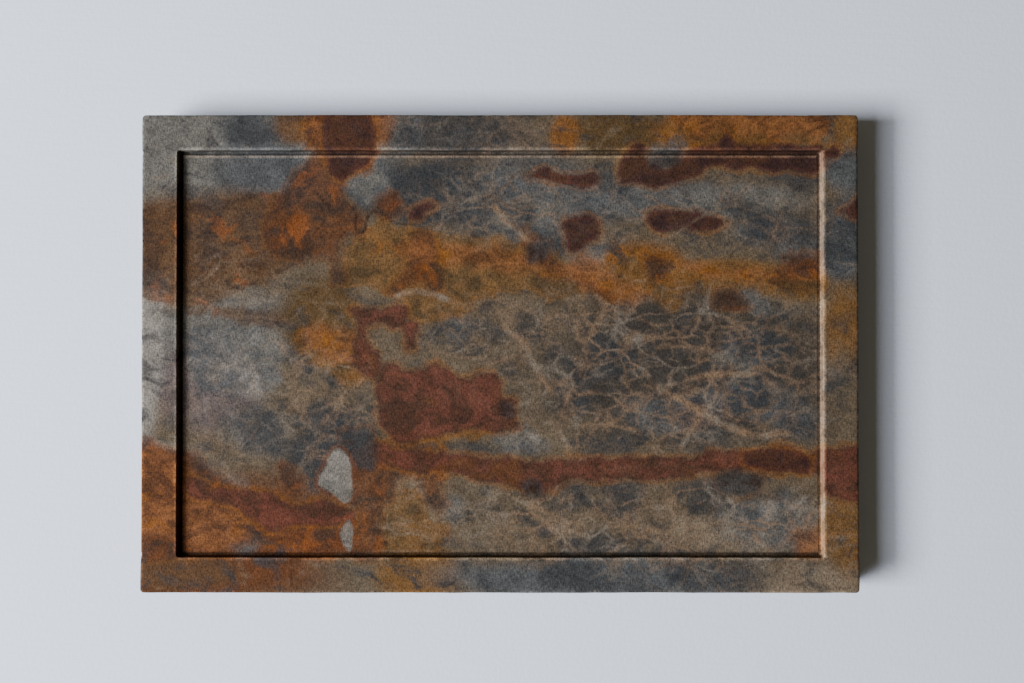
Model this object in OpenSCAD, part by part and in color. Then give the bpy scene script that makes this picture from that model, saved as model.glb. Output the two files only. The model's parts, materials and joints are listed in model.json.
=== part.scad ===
// Cloth-wrapped tea tray: a hollow wooden core with a raised rim, covered by one cloth.
// Millimetres. Origin on the table under the middle of the tray. +X right, +Y back, +Z up.

/* [Overall] */
// Width of the wrapped tray, left to right
tray_w = 300; // [220:1:480]
// Depth of the wrapped tray, front to back
tray_d = 200; // [150:1:360]
// Height from the table to the top of the rim
tray_h = 20; // [16.5:0.5:40]

/* [Rim and field] */
// Width of the flat rim, seen from above
rim_w = 15; // [12:0.5:24]
// Depth of the sunk field below the rim
field_drop = 3.5; // [1.5:0.1:5.5]
// Radius of the four upright outer corners
corner_r = 1.6; // [1.4:0.1:2.6]

/* [Cover and lining] */
// Thickness of the cover cloth with its paste
cloth_t = 0.8; // [0.4:0.05:1.2]
// Width of the cloth turned in under the rails
turn_in_w = 11; // [6:0.5:11]
// Thickness of the lining under the tray
lining_t = 0.8; // [0.4:0.05:1.5]
// Width of turned-in cloth left showing around the lining
lining_margin = 4; // [2:0.5:5]

/* [Core] */
// Thickness of the plywood panel under the field
field_panel_t = 3; // [2:0.5:5]
// Thickness of the plywood panel that closes the underside
bottom_panel_t = 3; // [2:0.5:5]
// Width of the ledge strips glued inside the rails
ledge_w = 9; // [6:0.5:16]
// Width of each cross batten between the panels
batten_w = 16; // [10:1:30]
// Distance between the middles of two neighbouring battens
batten_pitch = 66; // [40:1:68]
// Side of the square glue block in each corner
block_w = 26; // [22:1:34]
// Bevel that eases the top edges of the rails
arris = 0.7; // [0.3:0.1:1]

/* [Mitre keys] */
// Thickness of the key let into each mitre
key_t = 2; // [1:0.5:4]
// Length of the key along each rail
key_leg = 16; // [10:1:16]

/* [Panel pins] */
// Diameter of a panel pin
pin_d = 1.2; // [0.8:0.1:1.6]
// Diameter of a pin's head
pin_head_d = 2.4; // [2:0.1:3]
// Thickness of a pin's head
pin_head_t = 0.5; // [0.3:0.1:0.8]
// Distance between pins along the front and back
pin_pitch = 66; // [40:1:68]
// Distance of the side pins from the middle
side_pin_y = 30; // [15:1:32]

/* [Feet] */
// Diameter of a foot where it meets the lining
foot_d = 15; // [13:0.5:20]
// Diameter of a foot where it meets the table
foot_tip_d = 13; // [11:0.5:18]
// Height of a foot
foot_h = 3; // [2.6:0.1:6]
// Diameter of the well that hides the screw's head
well_d = 7.6; // [7.4:0.1:9]
// Rubber left between the well and the lining
web_t = 0.8; // [0.5:0.1:1.2]
// Outer diameter of the washer in the well
washer_d = 7; // [6.4:0.1:7.2]
// Thickness of the washer
washer_t = 0.4; // [0.3:0.1:0.5]
// Diameter of the foot screw's shank
screw_d = 3; // [2.5:0.1:3.5]
// Diameter of the foot screw's head
screw_head_d = 5.6; // [5:0.1:6.2]
// Height of the foot screw's head
screw_head_h = 1.1; // [0.8:0.1:1.3]
// Width of the slot in the foot screw's head
screw_slot_w = 0.8; // [0.5:0.1:1]

/* [Hidden] */
$fn = 64;

cut_over = 1;          // how far a cut runs past the face that it opens
washer_clear = 0.1;    // radial room between the washer and the screw
tip_clear = 1;         // wood left above the tip of a screw or a pin
slot_share = 0.5;      // depth of the screw's slot as a share of its head

// Heights, from the table up
turn_in_z = foot_h + lining_t;              // underside of the turned-in cloth
core_z0 = turn_in_z + cloth_t;              // underside of the rails
core_z1 = tray_h - cloth_t;                 // top of the rails
field_z = tray_h - field_drop;              // top of the cloth in the field
field_panel_z1 = field_z - cloth_t;         // top of the field panel
field_panel_z0 = field_panel_z1 - field_panel_t;
spacer_z0 = turn_in_z + bottom_panel_t;     // underside of ledges, blocks and battens
key_z0 = (core_z0 + core_z1 - key_t) / 2;
tip_z = field_panel_z0 - tip_clear;         // where screws and pins end

// Plan sizes
field_w = tray_w - 2 * rim_w;               // the field, between its cloth walls
field_d = tray_d - 2 * rim_w;
core_w = tray_w - 2 * cloth_t;              // outside of the rails
core_d = tray_d - 2 * cloth_t;
core_r = corner_r - cloth_t;
inner_w = field_w + 2 * cloth_t;            // between the rails
inner_d = field_d + 2 * cloth_t;
ledge_x = inner_w / 2 - block_w;            // half length of the front and back ledges
ledge_y = inner_d / 2 - block_w;            // half length of the side ledges
block_x = (inner_w - block_w) / 2;          // middle of a corner block and of its foot
block_y = (inner_d - block_w) / 2;
ledge_mid_x = (inner_w - ledge_w) / 2;
ledge_mid_y = (inner_d - ledge_w) / 2;
batten_l = inner_d - 2 * ledge_w;

// Foot
well_h = foot_h - web_t;
head_z0 = well_h - washer_t - screw_head_h; // underside of the screw's head

wood = "burlywood";
plywood = "tan";

// Upright block with rounded upright corners, centred on the origin.
module slab(w, d, z0, z1, r) {
    translate([0, 0, z0])
        linear_extrude(z1 - z0)
            union() {
                square([w - 2 * r, d], center = true);
                square([w, d - 2 * r], center = true);
                for (sx = [-1, 1], sy = [-1, 1])
                    translate([sx * (w / 2 - r), sy * (d / 2 - r)])
                        circle(r);
            }
}

// Upright block with square corners, centred on the origin.
module block(w, d, z0, z1) {
    translate([-w / 2, -d / 2, z0])
        cube([w, d, z1 - z0]);
}

module core_outline(z0, z1) {
    slab(core_w, core_d, z0, z1, core_r);
}

// The wedge taken off an edge that runs along X at the origin.
module bevel(length) {
    rotate([45, 0, 0])
        cube([length, arris * sqrt(2), arris * sqrt(2)], center = true);
}

// One mitre key in the corner where x and y are positive.
module key_shape() {
    translate([core_w / 2, core_d / 2, key_z0])
        linear_extrude(key_t)
            polygon([[0, 0], [-key_leg, 0], [0, -key_leg]]);
}

module all_keys() {
    for (sx = [0, 1], sy = [0, 1])
        mirror([sx, 0, 0])
            mirror([0, sy, 0])
                key_shape();
}

// Rail along X on the front side, mitred at both ends.
module long_rail() {
    difference() {
        intersection() {
            core_outline(core_z0, core_z1);
            translate([0, 0, core_z0])
                linear_extrude(core_z1 - core_z0)
                    polygon([[-core_w / 2, -core_d / 2], [core_w / 2, -core_d / 2],
                             [inner_w / 2, -inner_d / 2], [-inner_w / 2, -inner_d / 2]]);
        }
        all_keys();
        translate([0, -core_d / 2, core_z1])
            bevel(core_w + cut_over);
        translate([0, -inner_d / 2, core_z1])
            bevel(inner_w + core_w);
    }
}

// Rail along Y on the left side, mitred at both ends.
module short_rail() {
    difference() {
        intersection() {
            core_outline(core_z0, core_z1);
            translate([0, 0, core_z0])
                linear_extrude(core_z1 - core_z0)
                    polygon([[-core_w / 2, -core_d / 2], [-inner_w / 2, -inner_d / 2],
                             [-inner_w / 2, inner_d / 2], [-core_w / 2, core_d / 2]]);
        }
        all_keys();
        translate([-core_w / 2, 0, core_z1])
            rotate([0, 0, 90])
                bevel(core_d + cut_over);
        translate([-inner_w / 2, 0, core_z1])
            rotate([0, 0, 90])
                bevel(inner_d + core_d);
    }
}

module rail_front() {
    color(wood)
        long_rail();
}

module rail_back() {
    color(wood)
        mirror([0, 1, 0])
            long_rail();
}

module rail_left() {
    color(wood)
        short_rail();
}

module rail_right() {
    color(wood)
        mirror([1, 0, 0])
            short_rail();
}

// sx and sy are -1 or 1 and choose the corner.
module mitre_key(sx, sy) {
    color("saddlebrown")
        intersection() {
            mirror([(1 - sx) / 2, 0, 0])
                mirror([0, (1 - sy) / 2, 0])
                    key_shape();
            core_outline(core_z0, core_z1);
        }
}

module mitre_key_front_left() { mitre_key(-1, -1); }
module mitre_key_front_right() { mitre_key(1, -1); }
module mitre_key_back_left() { mitre_key(-1, 1); }
module mitre_key_back_right() { mitre_key(1, 1); }

// The round shanks of the foot screws, which the block, panel, lining and foot all fit.
module screw_shanks() {
    for (sx = [-1, 1], sy = [-1, 1])
        translate([sx * block_x, sy * block_y, head_z0 + screw_head_h])
            cylinder(d = screw_d, h = tip_z - head_z0 - screw_head_h);
}

// Places of the panel pins: three along the front and back ledges, two along each side
// ledge and one in the middle of each batten.
pin_places = concat(
    [for (i = [-1, 0, 1], s = [-1, 1]) [i * pin_pitch, s * ledge_mid_y]],
    [for (s = [-1, 1], y = [-side_pin_y, side_pin_y]) [s * ledge_mid_x, y]],
    [for (i = [-1, 0, 1]) [i * batten_pitch, 0]]);

module pin_shapes() {
    for (p = pin_places)
        translate([p[0], p[1], turn_in_z]) {
            cylinder(d = pin_head_d, h = pin_head_t);
            cylinder(d = pin_d, h = tip_z - turn_in_z);
        }
}

module corner_block(sx, sy) {
    color("peru")
        difference() {
            translate([sx * block_x, sy * block_y, 0])
                block(block_w, block_w, spacer_z0, field_panel_z0);
            screw_shanks();
        }
}

module corner_block_front_left() { corner_block(-1, -1); }
module corner_block_front_right() { corner_block(1, -1); }
module corner_block_back_left() { corner_block(-1, 1); }
module corner_block_back_right() { corner_block(1, 1); }

module long_ledge(side) {
    color("peru")
        difference() {
            translate([0, side * ledge_mid_y, 0])
                block(2 * ledge_x, ledge_w, spacer_z0, field_panel_z0);
            pin_shapes();
        }
}

module short_ledge(side) {
    color("peru")
        difference() {
            translate([side * ledge_mid_x, 0, 0])
                block(ledge_w, 2 * ledge_y, spacer_z0, field_panel_z0);
            pin_shapes();
        }
}

module ledge_front() { long_ledge(-1); }
module ledge_back() { long_ledge(1); }
module ledge_left() { short_ledge(-1); }
module ledge_right() { short_ledge(1); }

// Batten across the tray, between the front and back ledges.
module batten(place) {
    color("peru")
        difference() {
            translate([place * batten_pitch, 0, 0])
                block(batten_w, batten_l, spacer_z0, field_panel_z0);
            pin_shapes();
        }
}

module batten_left() { batten(-1); }
module batten_middle() { batten(0); }
module batten_right() { batten(1); }

module field_panel() {
    color(plywood)
        block(inner_w, inner_d, field_panel_z0, field_panel_z1);
}

// Sits between the rails, one cloth thickness proud of them, level with the turned-in cloth.
module bottom_panel() {
    color(plywood)
        difference() {
            block(inner_w, inner_d, turn_in_z, spacer_z0);
            screw_shanks();
            pin_shapes();
        }
}

module panel_pins() {
    color("gainsboro")
        pin_shapes();
}

// One cloth: sides, rim, field walls and field, with its edges turned in under the rails.
module cover_cloth() {
    color("rosybrown")
        difference() {
            slab(tray_w, tray_d, turn_in_z, tray_h, corner_r);
            // room for the four rails
            difference() {
                core_outline(core_z0, core_z1);
                block(inner_w, inner_d, field_panel_z1, tray_h);
            }
            // room for everything between the rails
            block(inner_w, inner_d, turn_in_z - cut_over, field_panel_z1);
            // the sunk field
            block(field_w, field_d, field_z, tray_h + cut_over);
            // the opening inside the turned-in edges
            block(core_w - 2 * turn_in_w, core_d - 2 * turn_in_w, turn_in_z - cut_over, core_z0 + cut_over);
        }
}

module underside_lining() {
    color("dimgray")
        difference() {
            slab(tray_w - 2 * lining_margin, tray_d - 2 * lining_margin, foot_h, turn_in_z, corner_r);
            screw_shanks();
        }
}

module foot(sx, sy) {
    color("dimgray")
        difference() {
            translate([sx * block_x, sy * block_y, 0])
                cylinder(d1 = foot_tip_d, d2 = foot_d, h = foot_h);
            translate([sx * block_x, sy * block_y, -cut_over])
                cylinder(d = well_d, h = well_h + cut_over);
            screw_shanks();
        }
}

module foot_front_left() { foot(-1, -1); }
module foot_front_right() { foot(1, -1); }
module foot_back_left() { foot(-1, 1); }
module foot_back_right() { foot(1, 1); }

module foot_washers() {
    color("silver")
        for (sx = [-1, 1], sy = [-1, 1])
            translate([sx * block_x, sy * block_y, well_h - washer_t])
                difference() {
                    cylinder(d = washer_d, h = washer_t);
                    translate([0, 0, -cut_over])
                        cylinder(d = screw_d + 2 * washer_clear, h = washer_t + 2 * cut_over);
                }
}

module foot_screws() {
    color("silver")
        difference() {
            union() {
                screw_shanks();
                for (sx = [-1, 1], sy = [-1, 1])
                    translate([sx * block_x, sy * block_y, head_z0])
                        cylinder(d = screw_head_d, h = screw_head_h);
            }
            for (sx = [-1, 1], sy = [-1, 1])
                translate([sx * block_x, sy * block_y, 0])
                    block(screw_head_d + cut_over, screw_slot_w, head_z0 - cut_over,
                          head_z0 + slot_share * screw_head_h);
        }
}

rail_front();
rail_back();
rail_left();
rail_right();
mitre_key_front_left();
mitre_key_front_right();
mitre_key_back_left();
mitre_key_back_right();
corner_block_front_left();
corner_block_front_right();
corner_block_back_left();
corner_block_back_right();
ledge_front();
ledge_back();
ledge_left();
ledge_right();
batten_left();
batten_middle();
batten_right();
field_panel();
bottom_panel();
panel_pins();
cover_cloth();
underside_lining();
foot_front_left();
foot_front_right();
foot_back_left();
foot_back_right();
foot_washers();
foot_screws();
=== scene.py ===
import json
import math
import bmesh
import bpy
import numpy as np
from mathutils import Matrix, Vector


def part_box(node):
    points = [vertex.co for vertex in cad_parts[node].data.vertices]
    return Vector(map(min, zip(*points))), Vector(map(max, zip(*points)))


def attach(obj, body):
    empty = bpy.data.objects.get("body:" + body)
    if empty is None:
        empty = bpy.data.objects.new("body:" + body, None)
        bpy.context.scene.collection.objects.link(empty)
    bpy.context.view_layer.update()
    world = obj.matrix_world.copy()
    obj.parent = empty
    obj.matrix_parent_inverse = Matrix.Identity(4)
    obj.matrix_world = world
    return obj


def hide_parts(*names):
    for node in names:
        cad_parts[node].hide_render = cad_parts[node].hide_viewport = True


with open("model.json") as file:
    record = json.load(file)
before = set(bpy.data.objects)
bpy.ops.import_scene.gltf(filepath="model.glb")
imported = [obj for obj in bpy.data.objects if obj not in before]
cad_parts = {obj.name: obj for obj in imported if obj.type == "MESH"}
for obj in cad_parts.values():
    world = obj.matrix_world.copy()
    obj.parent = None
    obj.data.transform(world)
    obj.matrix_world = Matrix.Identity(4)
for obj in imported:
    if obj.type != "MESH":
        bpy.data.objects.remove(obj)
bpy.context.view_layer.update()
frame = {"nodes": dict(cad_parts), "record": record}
mm = 0.001
print("stage: frame loaded,", len(frame["nodes"]), "nodes")

clothLow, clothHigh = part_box("cover_cloth")
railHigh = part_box("rail_front")[1]
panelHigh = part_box("field_panel")[1]
liningLow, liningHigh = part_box("underside_lining")
clothThick = clothHigh.z - railHigh.z

# sizes of the wrapped tray, all from the frame
tray = {
    "halfWide": clothHigh.x,
    "halfDeep": clothHigh.y,
    "top": clothHigh.z,
    "under": clothLow.z,
    "field": panelHigh.z + clothThick,
    "rim": clothHigh.x - panelHigh.x + clothThick,
}

# small helpers for node trees; a value given as a socket is linked, anything else is set
def put(tree, socket, value):
    if isinstance(value, bpy.types.NodeSocket):
        tree.links.new(value, socket)
    elif value is not None:
        socket.default_value = value


def add(tree, kind, inputs=None, **settings):
    node = tree.nodes.new(kind)
    for key, value in settings.items():
        setattr(node, key, value)
    for key, value in (inputs or {}).items():
        put(tree, node.inputs[key], value)
    return node


def maths(tree, operation, a, b=None):
    return add(tree, "ShaderNodeMath", {0: a, 1: b}, operation=operation).outputs[0]


def times(tree, a, b):
    return maths(tree, "MULTIPLY", a, b)


def blend(tree, share, a, b, mode="MIX"):
    node = add(tree, "ShaderNodeMix", data_type="RGBA", blend_type=mode)
    put(tree, node.inputs[0], share)
    for socket, value in ((node.inputs[6], a), (node.inputs[7], b)):
        put(tree, socket, (*value, 1) if isinstance(value, tuple) and len(value) == 3 else value)
    return node.outputs[2]


def remap(tree, value, low, high, toLow=0.0, toHigh=1.0, smooth=True):
    inputs = {"Value": value, "From Min": low, "From Max": high, "To Min": toLow, "To Max": toHigh}
    kind = "SMOOTHSTEP" if smooth else "LINEAR"
    return add(tree, "ShaderNodeMapRange", inputs, interpolation_type=kind).outputs["Result"]


def cloudy(tree, vector, scale, detail=2.0, rough=0.5, distort=0.0):
    inputs = {"Vector": vector, "Scale": scale, "Detail": detail, "Roughness": rough, "Distortion": distort}
    return add(tree, "ShaderNodeTexNoise", inputs).outputs["Fac"]


def stretched(tree, vector, scale, angle=0.0, move=(0, 0, 0)):
    inputs = {"Vector": vector, "Scale": scale, "Rotation": (0, 0, angle), "Location": move}
    return add(tree, "ShaderNodeMapping", inputs).outputs[0]


def newGroup(name, inputs, outputs):
    tree = bpy.data.node_groups.new(name, "ShaderNodeTree")
    for label, kind, value in inputs:
        socket = tree.interface.new_socket(label, in_out="INPUT", socket_type=kind)
        if value is not None:
            socket.default_value = value
    for label, kind in outputs:
        tree.interface.new_socket(label, in_out="OUTPUT", socket_type=kind)
    return tree, tree.nodes.new("NodeGroupInput"), tree.nodes.new("NodeGroupOutput")


def useGroup(tree, group, **inputs):
    node = tree.nodes.new("ShaderNodeGroup")
    node.node_tree = group
    for key, value in inputs.items():
        put(tree, node.inputs[key], value)
    return node


def newMaterial(name):
    material = bpy.data.materials.new(name)
    material.use_nodes = True
    tree = material.node_tree
    tree.nodes.clear()
    shader = tree.nodes.new("ShaderNodeBsdfPrincipled")
    out = tree.nodes.new("ShaderNodeOutputMaterial")
    tree.links.new(shader.outputs[0], out.inputs[0])
    return material, tree, shader


def bumped(tree, shader, height, distance, strength=1.0):
    inputs = {"Height": height, "Distance": distance, "Strength": strength}
    node = add(tree, "ShaderNodeBump", inputs)
    tree.links.new(node.outputs[0], shader.inputs["Normal"])


def finishForm(form, name):
    bmesh.ops.recalc_face_normals(form, faces=form.faces)
    mesh = bpy.data.meshes.new(name)
    form.to_mesh(mesh)
    form.free()
    return mesh


def newObject(name, data, material=None):
    piece = bpy.data.objects.new(name, data)
    bpy.context.collection.objects.link(piece)
    if material:
        data.materials.append(material)
    return piece


viewer = {
    "lens": 43,             # on a 36 mm sensor
    "distance": 0.511,      # from the top of the rim
    "aim": (0.0050, 0.0050),
    "lean": 0.6,            # degrees that the camera leans over the front edge
}


def addCamera():
    data = bpy.data.cameras.new("camera")
    data.lens = viewer["lens"]
    data.sensor_width = 36
    data.clip_start = 0.01
    lens = newObject("camera", data)
    lean = math.radians(viewer["lean"])
    lens.location = (
        viewer["aim"][0],
        viewer["aim"][1] - viewer["distance"] * math.sin(lean),
        tray["top"] + viewer["distance"] * math.cos(lean),
    )
    lens.rotation_euler = (lean, 0, 0)
    bpy.context.scene.camera = lens


studio = {
    "height": 1.5,
    "windowSpanX": (-1.85, -0.95),   # slopes of the light, sideways over height
    "windowSpanY": (-0.75, 0.02),
    "windowPower": 245,
    "fillSpanX": (-0.95, -0.55),
    "fillSpanY": (-0.70, 0.02),
    "fillPower": 22,
    "tint": (0.905, 1.0, 1.2),
    "ambient": 0.085,
    "ambientTint": (1.06, 1.0, 0.84),
    "backdrop": (0.78, 0.80, 0.83),
}


def addSoftbox(name, spanX, spanY, power):
    height = studio["height"]
    data = bpy.data.lights.new(name, "AREA")
    data.shape = "RECTANGLE"
    data.size = (spanX[1] - spanX[0]) * height
    data.size_y = (spanY[1] - spanY[0]) * height
    data.energy = power
    data.color = studio["tint"]
    box = newObject(name, data)
    box.location = (sum(spanX) / 2 * height, sum(spanY) / 2 * height, height)


def addWorld():
    world = bpy.data.worlds.new("studio")
    world.use_nodes = True
    tree = world.node_tree
    tree.nodes.clear()
    ambient = add(tree, "ShaderNodeBackground",
                  {"Color": (*studio["ambientTint"], 1), "Strength": studio["ambient"]})
    backdrop = add(tree, "ShaderNodeBackground", {"Color": (*studio["backdrop"], 1), "Strength": 1.0})
    seen = add(tree, "ShaderNodeLightPath").outputs["Is Camera Ray"]
    mix = add(tree, "ShaderNodeMixShader", {0: seen, 1: ambient.outputs[0], 2: backdrop.outputs[0]})
    add(tree, "ShaderNodeOutputWorld", {0: mix.outputs[0]})
    bpy.context.scene.world = world


addCamera()
addSoftbox("window", studio["windowSpanX"], studio["windowSpanY"], studio["windowPower"])
addSoftbox("fill", studio["fillSpanX"], studio["fillSpanY"], studio["fillPower"])
addWorld()
print("stage: camera and lights")


def makeWeave():
    # threads that run both ways with uneven thickness, as height and as light and dark
    inputs = [("Vector", "NodeSocketVector", None), ("Pitch", "NodeSocketFloat", 0.001)]
    outputs = [("Height", "NodeSocketFloat"), ("Shade", "NodeSocketFloat")]
    tree, start, end = newGroup("weave", inputs, outputs)
    perPitch = maths(tree, "DIVIDE", 1.0, start.outputs["Pitch"])
    place = add(tree, "ShaderNodeVectorMath", {0: start.outputs["Vector"], "Scale": perPitch},
                operation="SCALE").outputs[0]
    warp = cloudy(tree, stretched(tree, place, (1.9, 0.55, 1)), 1.0, 1.0, 0.6)
    weft = cloudy(tree, stretched(tree, place, (0.6, 1.9, 1), move=(31, 7, 3)), 1.0, 1.0, 0.6)
    grain = cloudy(tree, stretched(tree, place, (1, 1, 1), move=(5, 17, 9)), 1.5, 1.0, 0.7)
    both = maths(tree, "ADD", times(tree, warp, 0.42), times(tree, weft, 0.24))
    shade = maths(tree, "ADD", both, times(tree, grain, 0.34))
    tree.links.new(shade, end.inputs["Shade"])
    tree.links.new(remap(tree, shade, 0.30, 0.70), end.inputs["Height"])
    return tree


def makeStainEdge():
    # a stain's wandering edge: the stain, the dark tide line inside it and the halo outside it
    inputs = [
        ("Vector", "NodeSocketVector", None),
        ("Edge", "NodeSocketFloat", 0.0),
        ("Wander", "NodeSocketFloat", 1.5),
        ("Softness", "NodeSocketFloat", 0.6),
    ]
    outputs = [("Stain", "NodeSocketFloat"), ("Tide", "NodeSocketFloat"), ("Halo", "NodeSocketFloat")]
    tree, start, end = newGroup("stain edge", inputs, outputs)
    broad = cloudy(tree, start.outputs["Vector"], 120, 3.0, 0.62, 0.4)
    shift = times(tree, maths(tree, "SUBTRACT", broad, 0.5), 4.0)
    shift = times(tree, shift, start.outputs["Wander"])
    edge = maths(tree, "ADD", start.outputs["Edge"], shift)
    inside = maths(tree, "DIVIDE", times(tree, edge, -1.0), start.outputs["Softness"])
    tree.links.new(remap(tree, inside, -1.0, 1.0), end.inputs["Stain"])
    tide = maths(tree, "ABSOLUTE", maths(tree, "ADD", edge, 0.8))
    tree.links.new(remap(tree, tide, 1.1, 0.0), end.inputs["Tide"])
    halo = maths(tree, "ABSOLUTE", maths(tree, "SUBTRACT", edge, 0.9))
    tree.links.new(remap(tree, halo, 2.0, 0.0), end.inputs["Halo"])
    return tree


def makeCrackle():
    # thin wandering lines like the folds in crumpled cloth
    inputs = [
        ("Vector", "NodeSocketVector", None),
        ("Scale", "NodeSocketFloat", 60.0),
        ("Width", "NodeSocketFloat", 0.06),
        ("Crumple", "NodeSocketFloat", 0.006),
    ]
    tree, start, end = newGroup("crackle", inputs, [("Lines", "NodeSocketFloat")])
    place = start.outputs["Vector"]
    drift = add(tree, "ShaderNodeTexNoise", {"Vector": place, "Scale": 55.0, "Detail": 3.0}).outputs["Color"]
    centred = add(tree, "ShaderNodeVectorMath", {0: drift, 1: (0.5, 0.5, 0.5)}, operation="SUBTRACT")
    scaled = add(tree, "ShaderNodeVectorMath",
                 {0: centred.outputs[0], "Scale": start.outputs["Crumple"]}, operation="SCALE")
    moved = add(tree, "ShaderNodeVectorMath", {0: place, 1: scaled.outputs[0]}, operation="ADD")
    cells = add(tree, "ShaderNodeTexVoronoi",
                {"Vector": moved.outputs[0], "Scale": start.outputs["Scale"]}, feature="DISTANCE_TO_EDGE")
    share = maths(tree, "DIVIDE", cells.outputs["Distance"], start.outputs["Width"])
    tree.links.new(remap(tree, share, 1.0, 0.0), end.inputs["Lines"])
    return tree


weave = makeWeave()
stainEdge = makeStainEdge()
crackle = makeCrackle()


# smooth random field on a lattice, from 0 to 1, the same on every run
def lattice(x, y, pitch, seed):
    table = np.random.default_rng(seed).random((64, 64))
    gx, gy = x / pitch, y / pitch
    ix, iy = np.floor(gx).astype(int), np.floor(gy).astype(int)
    fx, fy = gx - ix, gy - iy
    fx, fy = fx * fx * (3 - 2 * fx), fy * fy * (3 - 2 * fy)
    a, b = table[ix % 64, iy % 64], table[(ix + 1) % 64, iy % 64]
    c, d = table[ix % 64, (iy + 1) % 64], table[(ix + 1) % 64, (iy + 1) % 64]
    return (a * (1 - fx) + b * fx) * (1 - fy) + (c * (1 - fx) + d * fx) * fy


def roughField(x, y, pitch, seed):
    return (
        lattice(x, y, pitch, seed) * 0.55
        + lattice(x, y, pitch * 0.47, seed + 1) * 0.3
        + lattice(x, y, pitch * 0.21, seed + 2) * 0.15
    )


def smoothLoop(points, closed=True, steps=4):
    # a smooth curve through the points
    p = np.array(points, float)
    n = len(p)
    out = []
    for i in range(n if closed else n - 1):
        if closed:
            a, b, c, d = p[i - 1], p[i], p[(i + 1) % n], p[(i + 2) % n]
        else:
            a, b, c, d = p[max(i - 1, 0)], p[i], p[i + 1], p[min(i + 2, n - 1)]
        for t in np.arange(steps) / steps:
            t2, t3 = t * t, t * t * t
            bend = (2 * a - 5 * b + 4 * c - d) * t2 + (3 * b - a - 3 * c + d) * t3
            out.append(0.5 * (2 * b + (c - a) * t + bend))
    if not closed:
        out.append(p[-1])
    return np.array(out)


def segmentDistance(x, y, a, b):
    run = b - a
    t = np.clip(((x - a[0]) * run[0] + (y - a[1]) * run[1]) / max(run @ run, 1e-9), 0, 1)
    return np.hypot(x - a[0] - t * run[0], y - a[1] - t * run[1])


def band(distance, middle, width):
    return np.exp(-(((distance - middle) / width) ** 2))


# everything about the dyeing is worked out on this flat chart of the cloth, in millimetres
chart = {"reachX": 184, "reachY": 134, "far": 14.0}
chartX, chartY = np.meshgrid(
    np.arange(-chart["reachX"], chart["reachX"] + 1.0),
    np.arange(-chart["reachY"], chart["reachY"] + 1.0),
    indexing="ij",
)


def near(points):
    low, high = points.min(0) - chart["far"], points.max(0) + chart["far"]
    ix = slice(max(int(low[0] + chart["reachX"]), 0), max(int(high[0] + chart["reachX"]) + 2, 0))
    iy = slice(max(int(low[1] + chart["reachY"]), 0), max(int(high[1] + chart["reachY"]) + 2, 0))
    return ix, iy


def edgeField(outlines):
    # millimetres from the nearest outline, below zero inside
    field = np.full(chartX.shape, chart["far"])
    for outline in outlines:
        loop = smoothLoop(outline)
        part = near(loop)
        x, y = chartX[part], chartY[part]
        distance = np.full(x.shape, 1e9)
        inside = np.zeros(x.shape, bool)
        for a, b in zip(loop, np.roll(loop, -1, 0)):
            distance = np.minimum(distance, segmentDistance(x, y, a, b))
            crosses = (a[1] > y) != (b[1] > y)
            rise = b[1] - a[1] if abs(b[1] - a[1]) > 1e-9 else 1e-9
            inside ^= crosses & (x < (b[0] - a[0]) * (y - a[1]) / rise + a[0])
        field[part] = np.minimum(field[part], np.where(inside, -distance, distance))
    return np.clip(field, -chart["far"], chart["far"])


def lineField(lines, width):
    # from 1 on a line to 0 at its width; each line ends in a thin point
    field = np.zeros(chartX.shape)
    for weight, line in lines:
        curve = smoothLoop(line, closed=False)
        part = near(curve)
        x, y = chartX[part], chartY[part]
        best = np.zeros(x.shape)
        for i, (a, b) in enumerate(zip(curve[:-1], curve[1:])):
            along = (i + 0.5) / (len(curve) - 1)
            taper = min(1.0, 5 * along, 5 * (1 - along))
            best = np.maximum(best, weight * taper * np.clip(1 - segmentDistance(x, y, a, b) / width, 0, 1))
        field[part] = np.maximum(field[part], best)
    return field


# dyes, as the share of red, green and blue light that the dry cloth sends back
dyes = {
    "slate": (0.062, 0.058, 0.050),
    "slateDark": (0.029, 0.027, 0.024),
    "warmGrey": (0.098, 0.083, 0.062),
    "paleGrey": (0.170, 0.140, 0.104),
    "lilac": (0.094, 0.066, 0.054),
    "maroon": (0.030, 0.013, 0.010),
    "maroonRed": (0.090, 0.027, 0.015),
    "umberGrey": (0.036, 0.028, 0.020),
    "vein": (0.150, 0.088, 0.046),
    "veinGrey": (0.150, 0.112, 0.074),
    "ember": (0.174, 0.062, 0.019),
    "rustDark": (0.046, 0.018, 0.009),
    "rust": (0.078, 0.027, 0.009),
    "rustOrange": (0.140, 0.040, 0.009),
    "orange": (0.150, 0.052, 0.008),
    "ochre": (0.118, 0.055, 0.016),
    "ochreDark": (0.062, 0.033, 0.011),
    "tan": (0.083, 0.057, 0.032),
    "tanPale": (0.135, 0.095, 0.056),
    "brown": (0.070, 0.034, 0.014),
    "brownDark": (0.036, 0.018, 0.010),
    "umber": (0.022, 0.011, 0.007),
}


def dyeMap(base, washes, wander, seed):
    # soft round washes of dye laid over each other; their edges wander
    x = chartX + (roughField(chartX, chartY, 34, seed) - 0.5) * wander * 2
    y = chartY + (roughField(chartX, chartY, 34, seed + 5) - 0.5) * wander * 2
    colour = np.empty((*chartX.shape, 3))
    colour[:] = dyes[base]
    for dye, cx, cy, rx, ry, strength in washes:
        reach = np.hypot((x - cx) / rx, (y - cy) / ry)
        share = strength * np.clip((1.3 - reach) / 0.6, 0, 1)
        share = (share * share * (3 - 2 * share))[..., None]
        colour = colour * (1 - share) + np.array(dyes[dye]) * share
    return colour


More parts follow.
